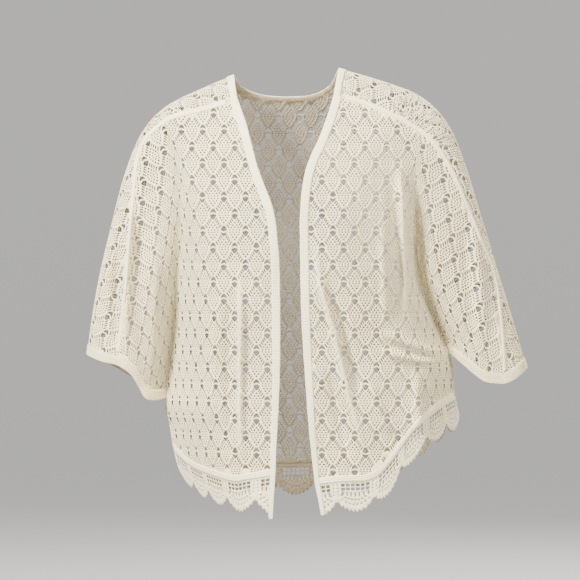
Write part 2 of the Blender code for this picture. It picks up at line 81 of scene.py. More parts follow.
# Fold between body and sleeve down to the underarm, then the side seam: out and up, in mm.
SIDES = {
    "left": {
        "turn_deg": 25.0,
        "front": [(167, -73), (158, -170), (167, -280), (209, -382), (217, -441), (224, -480), (226, -540)],
        "back": [(250, 2), (200, -150), (186, -280), (209, -382), (217, -441), (224, -480), (226, -540)],
        "underarm": -382,
    },
    "right": {
        "turn_deg": 28.0,
        "front": [(189, -57), (168, -140), (172, -294), (188, -445), (182, -483), (174, -533), (150, -600)],
        "back": [(255, -18), (198, -150), (178, -294), (188, -445), (182, -483), (174, -533), (150, -600)],
        "underarm": -445,
    },
}

# Half depth of the body ahead of and behind the middle, by height, in mm.
DEPTH = {
    "front": [(40, 0), (0, 22), (-60, 48), (-130, 72), (-200, 84), (-300, 80), (-420, 74), (-620, 82)],
    "back": [(40, 0), (0, 14), (-60, 36), (-140, 52), (-220, 46), (-320, 36), (-420, 40), (-620, 62)],
}

# Edges as seen from the front, out from the middle and up, in mm.
OPENING = {
    "right": [(87, -28), (74, -66), (59, -123), (46, -158), (36, -188), (31, -227), (28, -279),
              (28, -409), (33, -515), (34, -545)],
    "left": [(47, -23), (35, -62), (21, -97), (12, -116), (4, -147), (0, -190), (0, -238),
             (2, -333), (8, -430), (13, -494), (20, -558)],
}
BAND_TIP = {"right": (38, -609), "left": (29, -604)}
NECK_SIDE = {"right": [(87, -28), (90, -10), (92, 6)], "left": [(47, -23), (50, -4), (54, 15)]}
BACK_NECK = [(92, 6), (80, -10), (50, -20), (18, -22), (-14, -20), (-40, -8), (-54, 15)]
SEAM = {
    "right": [(87, -28), (120, -38), (150, -46), (181, -55), (212, -79), (227, -112), (234, -182),
              (242, -283), (255, -398)],
    "left": [(47, -23), (85, -33), (126, -50), (167, -73), (192, -98), (212, -130), (232, -175),
             (252, -224), (271, -273), (280, -340), (285, -425)],
}
# Cuff: on the front up to the seam, from there to the silhouette, then round the back.
CUFF = {
    "right": {"front": [(188, -445), (203, -448), (216, -445), (226, -427), (238, -409), (255, -398)],
              "over": [(255, -398), (278, -393), (298, -384)],
              "back": [(298, -384), (270, -397), (235, -418), (205, -440), (188, -445)]},
    "left": {"front": [(209, -382), (214, -385), (235, -404), (258, -422), (285, -425)],
             "over": [(285, -425), (303, -416), (318, -402)],
             "back": [(318, -402), (300, -413), (270, -415), (236, -402), (209, -382)]},
}
HEM = {
    "right": [(34, -545), (76, -552), (94, -554), (147, -538), (171, -520), (177, -515)],
    "left": [(20, -558), (56, -554), (98, -551), (126, -525), (157, -483), (190, -455), (217, -441)],
}
BACK_HEM = [(-177, -515), (-150, -527), (-90, -538), (0, -540), (90, -530), (150, -500), (217, -441)]


def smooth_path(rows, steps):
    """Points along a soft curve through the rows."""
    p = np.array(rows, float)
    p = np.vstack([2 * p[0] - p[1], p, 2 * p[-1] - p[-2]])
    out = []
    for i in range(1, len(p) - 2):
        for k in range(steps):
            t = k / steps
            a, b, c, d = p[i - 1], p[i], p[i + 1], p[i + 2]
            out.append(0.5 * (2 * b + (c - a) * t + (2 * a - 5 * b + 4 * c - d) * t * t
                              + (3 * b - a - 3 * c + d) * t ** 3))
    out.append(p[-2])
    return np.array(out)


def run_along(path):
    """How far along a line each of its points is."""
    return np.concatenate([[0], np.cumsum(np.linalg.norm(np.diff(path, axis=0), axis=1))])


def at_run(path, run, at):
    """Points of a line at these distances along it."""
    return np.column_stack([np.interp(at, run, path[:, k]) for k in (0, 1)])


def even_path(points, spacing):
    """The same line with points at an even spacing."""
    p = np.array(points, float)
    run = run_along(p)
    return at_run(p, run, np.linspace(0, run[-1], max(2, int(round(run[-1] / spacing)) + 1)))


def by_height(rows, z):
    """A value that changes softly with height, from rows of (value, height) from the top down."""
    path = smooth_path(rows, 8)[::-1] * MM
    return np.interp(z, path[:, 1], path[:, 0])


def ease(x):
    """A soft step from 0 to 1 as x goes from 0 to 1."""
    x = np.clip(x, 0, 1)
    return x * x * (3 - 2 * x)


def mirrored(rows, side):
    """Rows of one half with the wearer's right side turned to -X."""
    return [((x if side == "left" else -x), z) for x, z in rows]


OTHER = {"front": "back", "back": "front"}
SIGNS = (("left", 1), ("right", -1))
EDGE = smooth_path(mirrored(CONTOUR["right"], "right") + CONTOUR["left"], 12) * MM


def from_edge(points):
    """Distance inside the silhouette, and the nearest point and inward direction on it."""
    a, b = EDGE[:-1], EDGE[1:]
    ab = b - a
    length2 = (ab ** 2).sum(1)
    ap = points[:, None, :] - a[None]
    t = np.clip((ap * ab[None]).sum(2) / length2, 0, 1)
    foot = a[None] + ab[None] * t[:, :, None]
    gap = points[:, None, :] - foot
    far = np.linalg.norm(gap, axis=2)
    k = far.argmin(1)
    i = np.arange(len(points))
    foot, far = foot[i, k], far[i, k]
    inward = np.column_stack([ab[k, 1], -ab[k, 0]])
    inward /= np.linalg.norm(inward, axis=1)[:, None]
    sign = np.sign((gap[i, k] * inward).sum(1))
    sign[sign == 0] = 1
    toward = gap[i, k] / np.maximum(far, 1e-9)[:, None] * sign[:, None]
    toward = np.where((far > 1e-6)[:, None], toward, inward)
    return far * sign, foot, toward


def fold_spread(side, face, z):
    """Spare cloth on each side of the fold under the arm, by height."""
    s = SIDES[side]
    top, low = s[face][0][1] * MM, s["underarm"] * MM
    return np.tan(math.radians(s["turn_deg"]) / 2) * np.clip(top - z, 0, top - low)


# How steeply the cloth leaves the fold's bottom, and the share of its run that is hidden in the fold.
FOLD_SLOPE = 0.34
FOLD_SHARE = 0.75 * (1 - FOLD_SLOPE)
# Width over which the cloth goes from body to arm.
ARM_BLEND = 60 * MM


def across_fold(dist, spread):
    """Seen distance from the fold's bottom for a distance along the cloth."""
    run = np.maximum(spread / FOLD_SHARE, 1e-4)
    x = np.abs(dist) / run
    near = run * (FOLD_SLOPE * x + (1 - FOLD_SLOPE) * x ** 4 / 4)
    return np.where(x < 1, near, np.abs(dist) - FOLD_SHARE * run) * np.sign(dist)


def half_drape(u, v, side, face):
    """Flat point of one half, out and up, to its seen place, with its distance along to the fold."""
    s = SIDES[side]
    turn = math.radians(s["turn_deg"])
    ku, kv = s[face][0][0] * MM, s[face][0][1] * MM
    body_line = by_height(s[face], v)
    body_spread = fold_spread(side, face, v)
    body_dist = body_line + body_spread - u
    body = np.column_stack([body_line - across_fold(body_dist, body_spread), v])
    a, b = u - ku, v - kv
    su = ku + a * math.cos(turn) + b * math.sin(turn)
    sv = kv - a * math.sin(turn) + b * math.cos(turn)
    arm_line = by_height(s[face], sv)
    arm_spread = fold_spread(side, face, sv)
    arm_dist = su - arm_line + arm_spread
    arm = np.column_stack([arm_line + across_fold(arm_dist, arm_spread), sv])
    past = (arm_dist - body_dist) / 2 - np.clip(s["underarm"] * MM - v, 0, 1)
    arm_share = ease(0.5 + past / ARM_BLEND)
    seen = body * (1 - arm_share)[:, None] + arm * arm_share[:, None]
    return seen, body_dist, arm_dist


def drape(flat, face):
    """Flat points, wearer's left as +X, to seen places, with the two distances to the fold."""
    x, v = flat[:, 0], flat[:, 1]
    seen = np.zeros_like(flat)
    dist = np.zeros((len(flat), 2))
    for side, sign in SIGNS:
        on = (x * sign >= 0)
        if on.any():
            place, body_dist, arm_dist = half_drape(x[on] * sign, v[on], side, face)
            place[:, 0] *= sign
            seen[on], dist[on] = place, np.column_stack([body_dist, arm_dist])
    return seen, dist


# The search back from seen to flat: rounds, step to measure by, longest move, share of each move that
# is made, and the least area that a flat square may have when seen.
ROUNDS = 14
PROBE = 0.2 * MM
LONGEST_MOVE = 8 * MM
MOVE_SHARE = 0.8
LEAST_AREA = 0.05


def undrape(seen, face):
    """The flat points that drape() carries to the seen places."""
    flat = seen.copy()
    for side, sign in SIGNS:
        s = SIDES[side]
        on = seen[:, 0] * sign >= 0
        x, z = seen[on, 0] * sign, seen[on, 1]
        line = by_height(s[face], z)
        spread = fold_spread(side, face, z)
        turn = math.radians(s["turn_deg"])
        ku, kv = s[face][0][0] * MM, s[face][0][1] * MM
        reach = np.linspace(0, 0.6, 1201)
        flat_on = np.zeros((len(x), 2))
        for i in range(len(x)):
            table = across_fold(reach, np.full_like(reach, spread[i]))
            along = np.interp(abs(x[i] - line[i]), table, reach)
            if x[i] <= line[i] + 0.5 * MM:
                flat_on[i] = (line[i] + spread[i] - along * np.sign(line[i] - x[i] + 1e-12), z[i])
            else:
                a, b = line[i] - spread[i] + along - ku, z[i] - kv
                flat_on[i] = (ku + a * math.cos(turn) - b * math.sin(turn),
                              kv + a * math.sin(turn) + b * math.cos(turn))
        flat_on[:, 0] *= sign
        flat[on] = flat_on
    best, best_far = flat.copy(), np.full(len(flat), 1e9)
    for _ in range(ROUNDS):
        now = drape(flat, face)[0]
        off = seen - now
        far = np.linalg.norm(off, axis=1)
        better = far < best_far
        best[better], best_far[better] = flat[better], far[better]
        du = (drape(flat + [PROBE, 0], face)[0] - now) / PROBE
        dv = (drape(flat + [0, PROBE], face)[0] - now) / PROBE
        det = du[:, 0] * dv[:, 1] - du[:, 1] * dv[:, 0]
        det = np.where(np.abs(det) < LEAST_AREA, LEAST_AREA, det)
        move = np.column_stack([(off[:, 0] * dv[:, 1] - off[:, 1] * dv[:, 0]) / det,
                                (du[:, 0] * off[:, 1] - du[:, 1] * off[:, 0]) / det])
        size = np.linalg.norm(move, axis=1)
        move *= np.minimum(1, LONGEST_MOVE / np.maximum(size, 1e-9))[:, None]
        flat = flat + MOVE_SHARE * move
    return best


# Inwards from the silhouette: where the body has its full depth, and where the fold may start.
FULL_DEPTH = 0.10
FOLD_CLEAR = 46 * MM
FOLD_EASE = 34 * MM
# The fold's bottom under the arm is rounded, and front and back stay this far from the middle there.
FOLD_ROUND = 14 * MM
AT_SEAM = 0.5 * MM
AT_FOLD = 0.9 * MM


def worn_mid(flat, face):
    """Middle of the cloth in space for flat points of a panel."""
    seen, dist = drape(flat, face)
    inside, foot, inward = from_edge(seen)
    along = inside + TURN_CUT
    turn = np.clip(np.abs(along) / EDGE_TURN, 0, math.pi / 2)
    in_turn = np.abs(along) < EDGE_TURN * math.pi / 2
    depth_in = np.where(in_turn, EDGE_TURN * (1 - np.cos(turn)), np.abs(along) - TURN_CUT)
    own = along >= 0
    place = np.where((own & ~in_turn)[:, None], seen, foot + inward * depth_in[:, None])
    z = place[:, 1]
    out = np.zeros(len(flat))
    for side, sign in SIGNS:
        on = place[:, 0] * sign >= 0
        s = SIDES[side]
        x = place[on, 0] * sign
        line = np.where(own[on], by_height(s[face], z[on]), by_height(s[OTHER[face]], z[on]))
        front = by_height([(d, h) for h, d in DEPTH["front"]], z[on])
        back = by_height([(d, h) for h, d in DEPTH["back"]], z[on])
        body = np.where(own[on] == (face == "front"), front, back)
        far_out = ease(1.25 - x / np.maximum(line, 0.05))
        inward_share = ease(depth_in[on] / FULL_DEPTH)
        half = EDGE_TURN + body * inward_share * (0.25 + 0.75 * far_out)
        y = half * np.where(in_turn[on], np.sin(turn[on]), 1)
        top, low = s[face][0][1] * MM, s["underarm"] * MM
        fold = ease((top - z[on]) / (top - low)) ** 1.1
        spread = fold_spread(side, face, z[on])
        run = np.maximum(spread / FOLD_SHARE, 1e-4)
        soft = FOLD_ROUND * ease((z[on] - low + 4 * MM) / (24 * MM)) + 1e-6
        to_fold = np.sqrt(np.abs(dist[on]).min(1) ** 2 + soft ** 2) - soft
        near = 1 - np.sin(math.pi / 2 * np.clip(to_fold / run, 0, 1))
        at_seam = AT_SEAM + AT_FOLD * ease((z[on] - low + 12 * MM) / (12 * MM))
        clear_of_edge = ease((depth_in[on] - FOLD_CLEAR) / FOLD_EASE)
        out[on] = y + (at_seam - y) * near * fold * own[on] * clear_of_edge
    toward = np.where(own, 1, -1) * (-1 if face == "front" else 1)
    return np.column_stack([place[:, 0], out * toward, place[:, 1]])


def worn(flat, face, lift=0.0):
    """Points of the cloth in space, moved out from its middle by lift."""
    flat = np.asarray(flat, float)
    mid = worn_mid(flat, face)
    if not np.any(lift):
        return mid
    step = 0.4 * MM
    du = worn_mid(flat + [step, 0], face) - worn_mid(flat - [step, 0], face)
    dv = worn_mid(flat + [0, step], face) - worn_mid(flat - [0, step], face)
    out = np.cross(du, dv) * (1 if face == "front" else -1)
    out /= np.maximum(np.linalg.norm(out, axis=1), 1e-12)[:, None]
    inward_facing = (out[:, 1] * np.sign(mid[:, 1]) < -0.2) & (np.abs(mid[:, 1]) > 8 * MM)
    out[inward_facing] *= -1
    return mid + out * np.asarray(lift).reshape(-1, 1)


def in_flat(seen, face, own=True, shift=0.0):
    """Flat points of a panel for seen places on its own side, or on the other past the silhouette."""
    inside, foot, inward = from_edge(seen)
    inside = np.maximum(inside, 0)
    along = EDGE_TURN * np.arccos(np.clip(1 - inside / EDGE_TURN, -1, 1))
    along = np.where(inside > EDGE_TURN, inside + TURN_CUT, along)
    along = (along if own else -along) + shift
    near = (along < EDGE_TURN * math.pi / 2) | (shift != 0)
    cut = np.where(near[:, None], foot + inward * (along - TURN_CUT)[:, None], seen)
    return undrape(cut, face)


def seen_path(rows, side, spacing):
    """Even points along a seen edge, on its own side."""
    return even_path(smooth_path(mirrored(rows, side), 6) * MM, spacing)


def side_seam(side, face, spacing):
    """Flat line of a side seam, from the underarm down to the hem."""
    low = SIDES[side]["underarm"] * MM
    end = HEM[side][-1][1] * MM
    z = np.linspace(low, end, max(3, int((low - end) / spacing)))
    x = by_height(SIDES[side][face], z) * (1 if side == "left" else -1)
    return undrape(np.column_stack([x, z]), face)


def opening_path(side, to_tip=False):
    """Flat line up and down a front edge, with the run beside the trim when it goes to the tip."""
    seen = seen_path(OPENING[side], side, 15 * MM)
    if to_tip:
        tip = np.array(mirrored([BAND_TIP[side]], side)) * MM
        end = seen[-1:]
        seen = np.vstack([seen, end + (tip - end) / 3, end + (tip - end) / 1.5, tip])
    return in_flat(seen, "front")


def flat_line(rows, side, face, own, spacing):
    """Flat line for seen rows, with even steps along the cloth."""
    return even_path(in_flat(seen_path(rows, side, 2 * MM), face, own), spacing)


NECK_STEP = 12 * MM


def neck_path():
    """Flat line on the back from the left seam over the shoulder, round the neck and down."""
    left = flat_line(NECK_SIDE["left"], "left", "back", False, NECK_STEP)
    neck = flat_line(BACK_NECK, "right", "back", True, NECK_STEP)[::-1]
    right = flat_line(NECK_SIDE["right"], "right", "back", False, NECK_STEP)[::-1]
    return np.vstack([left[:-1], neck, right[1:]])


def seam_path(side, face, shift=0.0):
    """Flat line of the seam from the neck down the sleeve, with the panel's edge moved by shift."""
    return in_flat(seen_path(SEAM[side], side, 14 * MM), face, face == "front",
                   shift if face == "front" else -shift)


def cuff_path(side, part):
    """Flat line of one part of a cuff: on the front, over the arm, or on the back."""
    face = "front" if part == "front" else "back"
    return flat_line(CUFF[side][part], side, face, part != "over", 11 * MM)


def scallops(total, name):
    """Whole scallops across the back, and one half more from the opening of a front."""
    return round(total / SCALLOP) if name == "back" else round(total / SCALLOP - 0.5) + 0.5


def hem_path(name):
    """Flat hem with six even steps to a scallop, and how far along each point is."""
    if name == "back":
        flat = undrape(smooth_path(BACK_HEM, 6) * MM, "back")
    else:
        flat = undrape(seen_path(HEM[name], name, 6 * MM), "front")
    run = run_along(flat)
    at = np.linspace(0, run[-1], int(6 * scallops(run[-1], name)) + 1)
    return at_run(flat, run, at), at


SEAM_STEP = 12 * MM


def front_outline(side):
    """Flat edges of a front: opening, hem, side seam, cuff, then the seam back to the neck."""
    return {"opening": opening_path(side)[1:], "hem": hem_path(side)[0],
            "side": side_seam(side, "front", SEAM_STEP)[::-1], "cuff": cuff_path(side, "front")[:-1],
            "seam": seam_path(side, "front", SEAM_GAP)[::-1]}


def back_outline():
    """Flat edges of the back, from the left neck point round by the left sleeve."""
    return {"neck": neck_path()[::-1][1:-1],
            "seam_left": seam_path("left", "back", -SEAM_GAP), "over_left": cuff_path("left", "over")[1:],
            "cuff_left": cuff_path("left", "back"), "side_left": side_seam("left", "back", SEAM_STEP),
            "hem": hem_path("back")[0][::-1],
            "side_right": side_seam("right", "back", SEAM_STEP)[::-1],
            "cuff_right": cuff_path("right", "back")[::-1],
            "over_right": cuff_path("right", "over")[::-1][:-1],
            "seam_right": seam_path("right", "back", -SEAM_GAP)[::-1]}


def closed_line(edges, least):
    """The edges as one ring without points closer than least."""
    points = np.vstack(list(edges.values()))
    keep = [points[0]]
    for p in points[1:]:
        if np.linalg.norm(p - keep[-1]) > least:
            keep.append(p)
    while np.linalg.norm(keep[-1] - keep[0]) < least:
        keep.pop()
    return np.array(keep)


def distance_to(points, line):
    """Distance from each point to an open line."""
    far = np.full(len(points), 1e9)
    for p, q in zip(line[:-1], line[1:]):
        d = q - p
        t = np.clip(((points - p) @ d) / max(d @ d, 1e-12), 0, 1)
        far = np.minimum(far, np.linalg.norm(points - p - t[:, None] * d, axis=1))
    return far


def within(points, ring):
    """Which points are inside the ring, and how far each is from its line."""
    closed = np.vstack([ring, ring[:1]])
    inside = np.zeros(len(points), bool)
    for p, q in zip(closed[:-1], closed[1:]):
        cross = (p[1] > points[:, 1]) != (q[1] > points[:, 1])
        at = (q[0] - p[0]) * (points[:, 1] - p[1]) / ((q[1] - p[1]) or 1e-12) + p[0]
        inside ^= cross & (points[:, 0] < at)
    return inside, distance_to(points, closed)


def turned_left(ring):
    """The ring in the order that has its inside to the left."""
    x, y = ring[:, 0], ring[:, 1]
    area = np.sum(x * np.roll(y, -1) - np.roll(x, -1) * y)
    return ring if area > 0 else ring[::-1]


def cut_sheet(ring, holes, points):
    """Triangles of the flat ring with the holes left out and the points used."""
    ring, holes = turned_left(ring), [turned_left(h) for h in holes]
    verts = [Vector(p) for p in ring]
    faces = [list(range(len(ring)))]
    for hole in holes:
        faces.append(list(range(len(verts), len(verts) + len(hole))))
        verts.extend(Vector(p) for p in hole)
    verts.extend(Vector(p) for p in points)
    out = delaunay_2d_cdt(verts, [], faces, 1, 1e-7, True)
    tris = [f for f, ids in zip(out[2], out[5]) if ids and max(ids) == 0]
    used = sorted({i for f in tris for i in f})
    index = {old: new for new, old in enumerate(used)}
    flat = np.array([out[0][i][:] for i in used])
    return flat, [[index[i] for i in f] for f in tris]


def offset_line(path, offset, left):
    """A flat line beside a path, at one offset or one for each point."""
    t = np.gradient(path, axis=0)
    t /= np.linalg.norm(t, axis=1)[:, None]
    n = np.column_stack([-t[:, 1], t[:, 0]]) * (1 if left else -1)
    return path + n * np.broadcast_to(offset, len(path))[:, None]


def hang(place, face, drop):
    """Flat points straight below hem points, kept by the side seam and by the front edge."""
    drop = np.broadcast_to(drop, len(place))
    out = np.zeros_like(place)
    for side, sign in SIGNS:
        on = place[:, 0] * sign >= 0
        s, u, v = SIDES[side], place[on, 0] * sign, place[on, 1]
        low = v - drop[on]
        before = by_height(s[face], v) + fold_spread(side, face, v)
        after = by_height(s[face], low) + fold_spread(side, face, low)
        u = u + (after - before) * np.clip(u / before, 0, 1) ** 3
        if face == "front":
            rows = OPENING[side] + [BAND_TIP[side], (BAND_TIP[side][0] + 1, BAND_TIP[side][1] - 20)]
            slip = by_height(rows, low) - by_height(rows, v)
            u = u + slip * np.clip(1 - (u - OPENING[side][-1][0] * MM) / (60 * MM), 0, 1)
        out[on] = np.column_stack([sign * u, low])
    return out


# One lace repeat, in mm from the middle of an eye's bar.
EYE_ARCH = [(-4.9, -0.4), (0.0, 1.6), (4.9, -0.4), (3.6, 3.1), (1.6, 5.5), (0.0, 6.4), (-1.6, 5.5),
            (-3.6, 3.1)]
EYE_DROP = [(-4.6, -2.7), (0.0, -0.6), (4.6, -2.7), (4.2, -4.7), (2.4, -7.7), (0.0, -9.7), (-2.4, -7.7),
            (-4.2, -4.7)]
EYE_FLIP_SUM = -2.9
# Rows of dots in a diamond, from the bottom: how many, their pitch and half size.
DOT_ROWS = [(1, 0.0, 1.85), (2, 5.3, 1.85), (3, 4.8, 1.65), (4, 4.3, 1.45),
            (4, 4.3, 1.45), (3, 4.8, 1.65), (2, 5.3, 1.85), (1, 0.0, 1.85)]
DOT_MIDDLE = 21.9
DOT_PITCH = 3.35
# Slots across the channel that goes down to the right: middle out and up, and length.
SLOTS = [(3.6, -9.2, 5.0), (5.5, -11.8, 5.0), (7.3, -14.9, 5.2), (9.3, -18.3, 6.0)]
SLOT_LEAN = (0.53, 0.85)
SLOT_WIDE = 2.1

# Creases: face, widths and heights in mm, then the line down the cloth, out and up.
CREASES = [
    ("front", 6, 13, [(-86, -250), (-83, -320), (-84, -400), (-84, -470), (-80, -540)]),
    ("front", 9, -9, [(-98, -280), (-97, -350), (-98, -430), (-94, -530)]),
    ("front", 8, 6, [(-118, -300), (-122, -400), (-126, -500)]),
    ("front", 6, 12.5, [(20, -205), (27, -285), (40, -330), (54, -385), (68, -445), (92, -526)]),
    ("front", 7, -9, [(34, -270), (54, -335), (66, -385), (84, -450)]),
    ("front", 7, -10, [(36, -395), (52, -465), (72, -540)]),
    ("front", 6, 7, [(92, -410), (108, -460), (130, -500)]),
    ("front", 5, 12, [(136, -110), (144, -220), (148, -345)]),
    ("front", 7, -9, [(125, -130), (131, -240), (134, -350)]),
    ("front", 7, -7, [(156, -150), (162, -240), (164, -335)]),
    ("front", 6, 6, [(112, -190), (116, -280), (120, -350)]),
    ("front", 5, 7, [(108, -350), (150, -368), (196, -382)]),
    ("front", 5, 7, [(104, -376), (150, -388), (200, -396)]),
    ("front", 5, -5, [(106, -364), (150, -379), (198, -390)]),
    ("front", 7, 9, [(161, -400), (163, -450), (166, -500)]),
    ("front", 5, 13, [(-232, -150), (-240, -270), (-244, -392)]),
    ("front", 7, -9, [(-252, -200), (-257, -300), (-259, -392)]),
    ("front", 8, -6, [(-216, -180), (-221, -280), (-222, -400)]),
    ("front", 6, 6, [(-198, -220), (-202, -320), (-206, -430)]),
    ("front", 8, 7, [(238, -180), (250, -280), (256, -400)]),
    ("front", 7, -5, [(224, -190), (234, -280), (240, -380)]),
    ("back", 10, 11, [(-70, -190), (-76, -340), (-86, -510)]),
    ("back", 11, -8, [(-36, -240), (-38, -400), (-30, -530)]),
    ("back", 9, 10, [(32, -170), (42, -340), (40, -530)]),
    ("back", 10, -7, [(72, -200), (80, -360), (88, -510)]),
    ("back", 8, 9, [(112, -180), (116, -320), (126, -470)]),
    ("back", 7, 8, [(104, -350), (150, -370), (196, -384)]),
    ("back", 7, 8, [(-110, -330), (-150, -380), (-180, -430)]),
    ("back", 9, 9, [(-232, -160), (-240, -280), (-252, -385)]),
    ("back", 9, 9, [(232, -170), (250, -290), (262, -400)]),
]
RIPPLE = 1.1 * MM
# On a crease this steep the holes are drawn in, this far from its line, to these shares.
STEEP = 2
DRAWN_IN = 4.2 * MM
DRAWN_SHARES = (0.72, 0.35)
# Where front and back lie closer than this there are no creases, and past the next they are full.
FLAT_ROOM = 10 * MM
FREE_ROOM = 24 * MM


def beside_crease(x, z, rows):
    """Distance of each place from a crease's line, and how far down the line it lies, 0 to 1."""
    line = smooth_path(rows, 5) * MM
    run = np.linspace(0, 1, len(line))
    best = np.full(len(x), 1e9)
    at = np.zeros(len(x))
    for k in range(len(line) - 1):
        a, d = line[k], line[k + 1] - line[k]
        t = np.clip(((x - a[0]) * d[0] + (z - a[1]) * d[1]) / (d @ d), 0, 1)
        far = np.hypot(x - a[0] - t * d[0], z - a[1] - t * d[1])
        near = far < best
        best = np.where(near, far, best)
        at = np.where(near, run[k] + t * (run[k + 1] - run[k]), at)
    return best, at


def crease_height(x, z, face):
    """How far the cloth stands out from its plain form at a place seen from the front."""
    out = RIPPLE * (np.sin(x * 41 + z * 13) * np.sin(z * 29 - x * 17 + 1.0)
                    + 0.6 * np.sin(x * 83 - z * 37 + 2.0))
    for side, wide, high, rows in CREASES:
        if side != face:
            continue
        best, at = beside_crease(x, z, rows)
        fade = ease(np.minimum(at, 1 - at) / 0.3)
        out = out + high * MM * fade * np.exp(-(best / (wide * MM)) ** 2)
    return out


def drawn_in(holes, face):
    """The lace's holes, narrower where one of the sharpest folds draws the cloth together."""
    middles = np.array([h.mean(0) for h in holes])
    seen = drape(middles, face)[0]
    share = np.zeros(len(holes))
    for side, wide, high, rows in CREASES:
        if side == face and high / wide > STEEP:
            best, at = beside_crease(seen[:, 0], seen[:, 1], rows)
            fade = ease(np.minimum(at, 1 - at) / 0.2)
            share = np.maximum(share, fade * np.exp(-(best / DRAWN_IN) ** 2))
    across, down = DRAWN_SHARES
    return [m + (h - m) * (1 - across * s, 1 - down * s) for h, m, s in zip(holes, middles, share)]


def creased(points):
    """Points of the cloth moved out by the creases, kept where front and back lie close."""
    p = points.copy()
    for face, sign in (("front", -1), ("back", 1)):
        on = p[:, 1] * sign > 0
        x, z = p[on, 0], p[on, 2]
        room = ease((np.abs(p[on, 1]) - FLAT_ROOM) / FREE_ROOM)
        p[on, 1] += sign * crease_height(x, z, face) * room
    return p


def on_body(flat, face, lift=0.0):
    """Flat points in their worn place, creases and all, moved out from the cloth's middle by lift."""
    return creased(worn(flat, face, lift))


def lattice(ring):
    """Middles of the eyes in the ring's box, and whether each is turned over."""
    low, high = ring.min(0), ring.max(0)
    out = []
    for j in range(math.floor(low[1] / REPEAT_H * 2) - 1, math.ceil(high[1] / REPEAT_H * 2) + 1):
        for i in range(math.floor(low[0] / REPEAT_W) - 1, math.ceil(high[0] / REPEAT_W) + 1):
            turned = (i * 7 + j * 13 + (i * j) % 5) % 9 == 0
            out.append(((i + 0.5 * (j % 2)) * REPEAT_W, j * REPEAT_H / 2, turned))
    return out


def repeat_holes():
    """The holes of one repeat as lists of points in mm, plain and with the eye turned over."""
    rest = []
    for k, (count, pitch, half) in enumerate(DOT_ROWS):
        z = DOT_MIDDLE + (k - 3.5) * DOT_PITCH
        for i in range(count):
            x = (i - (count - 1) / 2) * pitch
            rest.append([(x - half, z), (x, z - half), (x + half, z), (x, z + half)])
    lx, lz = SLOT_LEAN
    for x, z, long in SLOTS:
        for side in (1, -1):
            a, b = long / 2, SLOT_WIDE / 2
            four = [(x + lx * a - lz * b, z + lz * a + lx * b), (x - lx * a - lz * b, z - lz * a + lx * b),
                    (x - lx * a + lz * b, z - lz * a - lx * b), (x + lx * a + lz * b, z + lz * a - lx * b)]
            rest.append([(px * side, pz) for px, pz in four])
    turned = [[(x, EYE_FLIP_SUM - z) for x, z in eye] for eye in (EYE_ARCH, EYE_DROP)]
    return [EYE_ARCH, EYE_DROP] + rest, turned + rest


RING_STEP = 1.0 * MM          # least distance between points of a panel's edge
EDGE_YARN = 1.3 * MM          # yarn left between a panel's edge and the first holes
FILL_STEP = 6 * MM            # between the points that carry the plain cloth under a band


def clear_of(holes, points, least):
    """Which points are further than least from the middle of every hole."""
    middles = np.array([h.mean(0) for h in holes])
    return np.array([np.min(np.linalg.norm(middles - p, axis=1)) > least for p in points])


def lace_cut(edges, banded, face):
    """Flat triangles of a panel with every hole of the lace cut through."""
    ring = closed_line(edges, RING_STEP)
    plain, turned = repeat_holes()
    holes = []
    for x, z, over in lattice(ring):
        holes += [np.array(h) * MM + (x, z) for h in (turned if over else plain)]
    holes = drawn_in(holes, face)
    corners = np.vstack(holes)
    inside, far = within(corners, ring)
    ok = inside & (far > EDGE_YARN)
    for line, wide in banded:
        ok &= distance_to(corners, line) > wide
    start = np.cumsum([0] + [len(h) for h in holes])
    kept = [h for h, a, b in zip(holes, start[:-1], start[1:]) if ok[a:b].all()]
    fill = []
    for line, wide in banded:
        step = even_path(line, FILL_STEP)
        fill += [offset_line(step, offset, True) for offset in (-wide * 0.5, wide * 0.5)]
    fill = np.vstack(fill)
    inside, far = within(fill, ring)
    fill = fill[inside & (far > RING_STEP)]
    return cut_sheet(ring, kept, fill[clear_of(kept, fill, 5.5 * MM)])


def both_sides(mid, tris, wall):
    """Points of the outer side of a sheet, then those of its inner side."""
    corner = mid[tris]
    cross = np.cross(corner[:, 1] - corner[:, 0], corner[:, 2] - corner[:, 0])
    normal = np.zeros_like(mid)
    for k in range(3):
        np.add.at(normal, tris[:, k], cross)
    normal /= np.maximum(np.linalg.norm(normal, axis=1), 1e-12)[:, None]
    return np.vstack([mid + normal * wall / 2, mid - normal * wall / 2])


def open_edges(tris):
    """Directed edges that only one of the triangles has."""
    seen = {}
    for a, b, c in tris:
        for p, q in ((a, b), (b, c), (c, a)):
            if (q, p) in seen:
                seen[(q, p)] = None
            else:
                seen[(p, q)] = 1
    return [e for e, v in seen.items() if v]


def put_mesh(name, points, faces, uv, mat, normals=None, inner=None):
    """A smooth mesh object with the flat cut as its UV map, in metres, and its inner side marked for painted
    shade.
    """
    used = sorted({i for f in faces for i in f})
    index = np.full(len(points), -1)
    index[used] = np.arange(len(used))
    mesh = bpy.data.meshes.new(name)
    mesh.from_pydata(points[used].tolist(), [], [[int(index[i]) for i in f] for f in faces])
    mesh.polygons.foreach_set("use_smooth", [True] * len(mesh.polygons))
    layer = mesh.uv_layers.new(name="flat")
    loops = np.zeros(len(mesh.loops), int)
    mesh.loops.foreach_get("vertex_index", loops)
    layer.data.foreach_set("uv", uv[used][loops].ravel())
    mesh.materials.append(mat)
    if inner is not None:
        mesh.attributes.new("inner", "FLOAT", "POINT").data.foreach_set("value", inner[used])
    if normals is not None:
        mesh.normals_split_custom_set_from_vertices(normals[used].tolist())
    item = bpy.data.objects.new(name, mesh)
    bpy.context.scene.collection.objects.link(item)
    return item


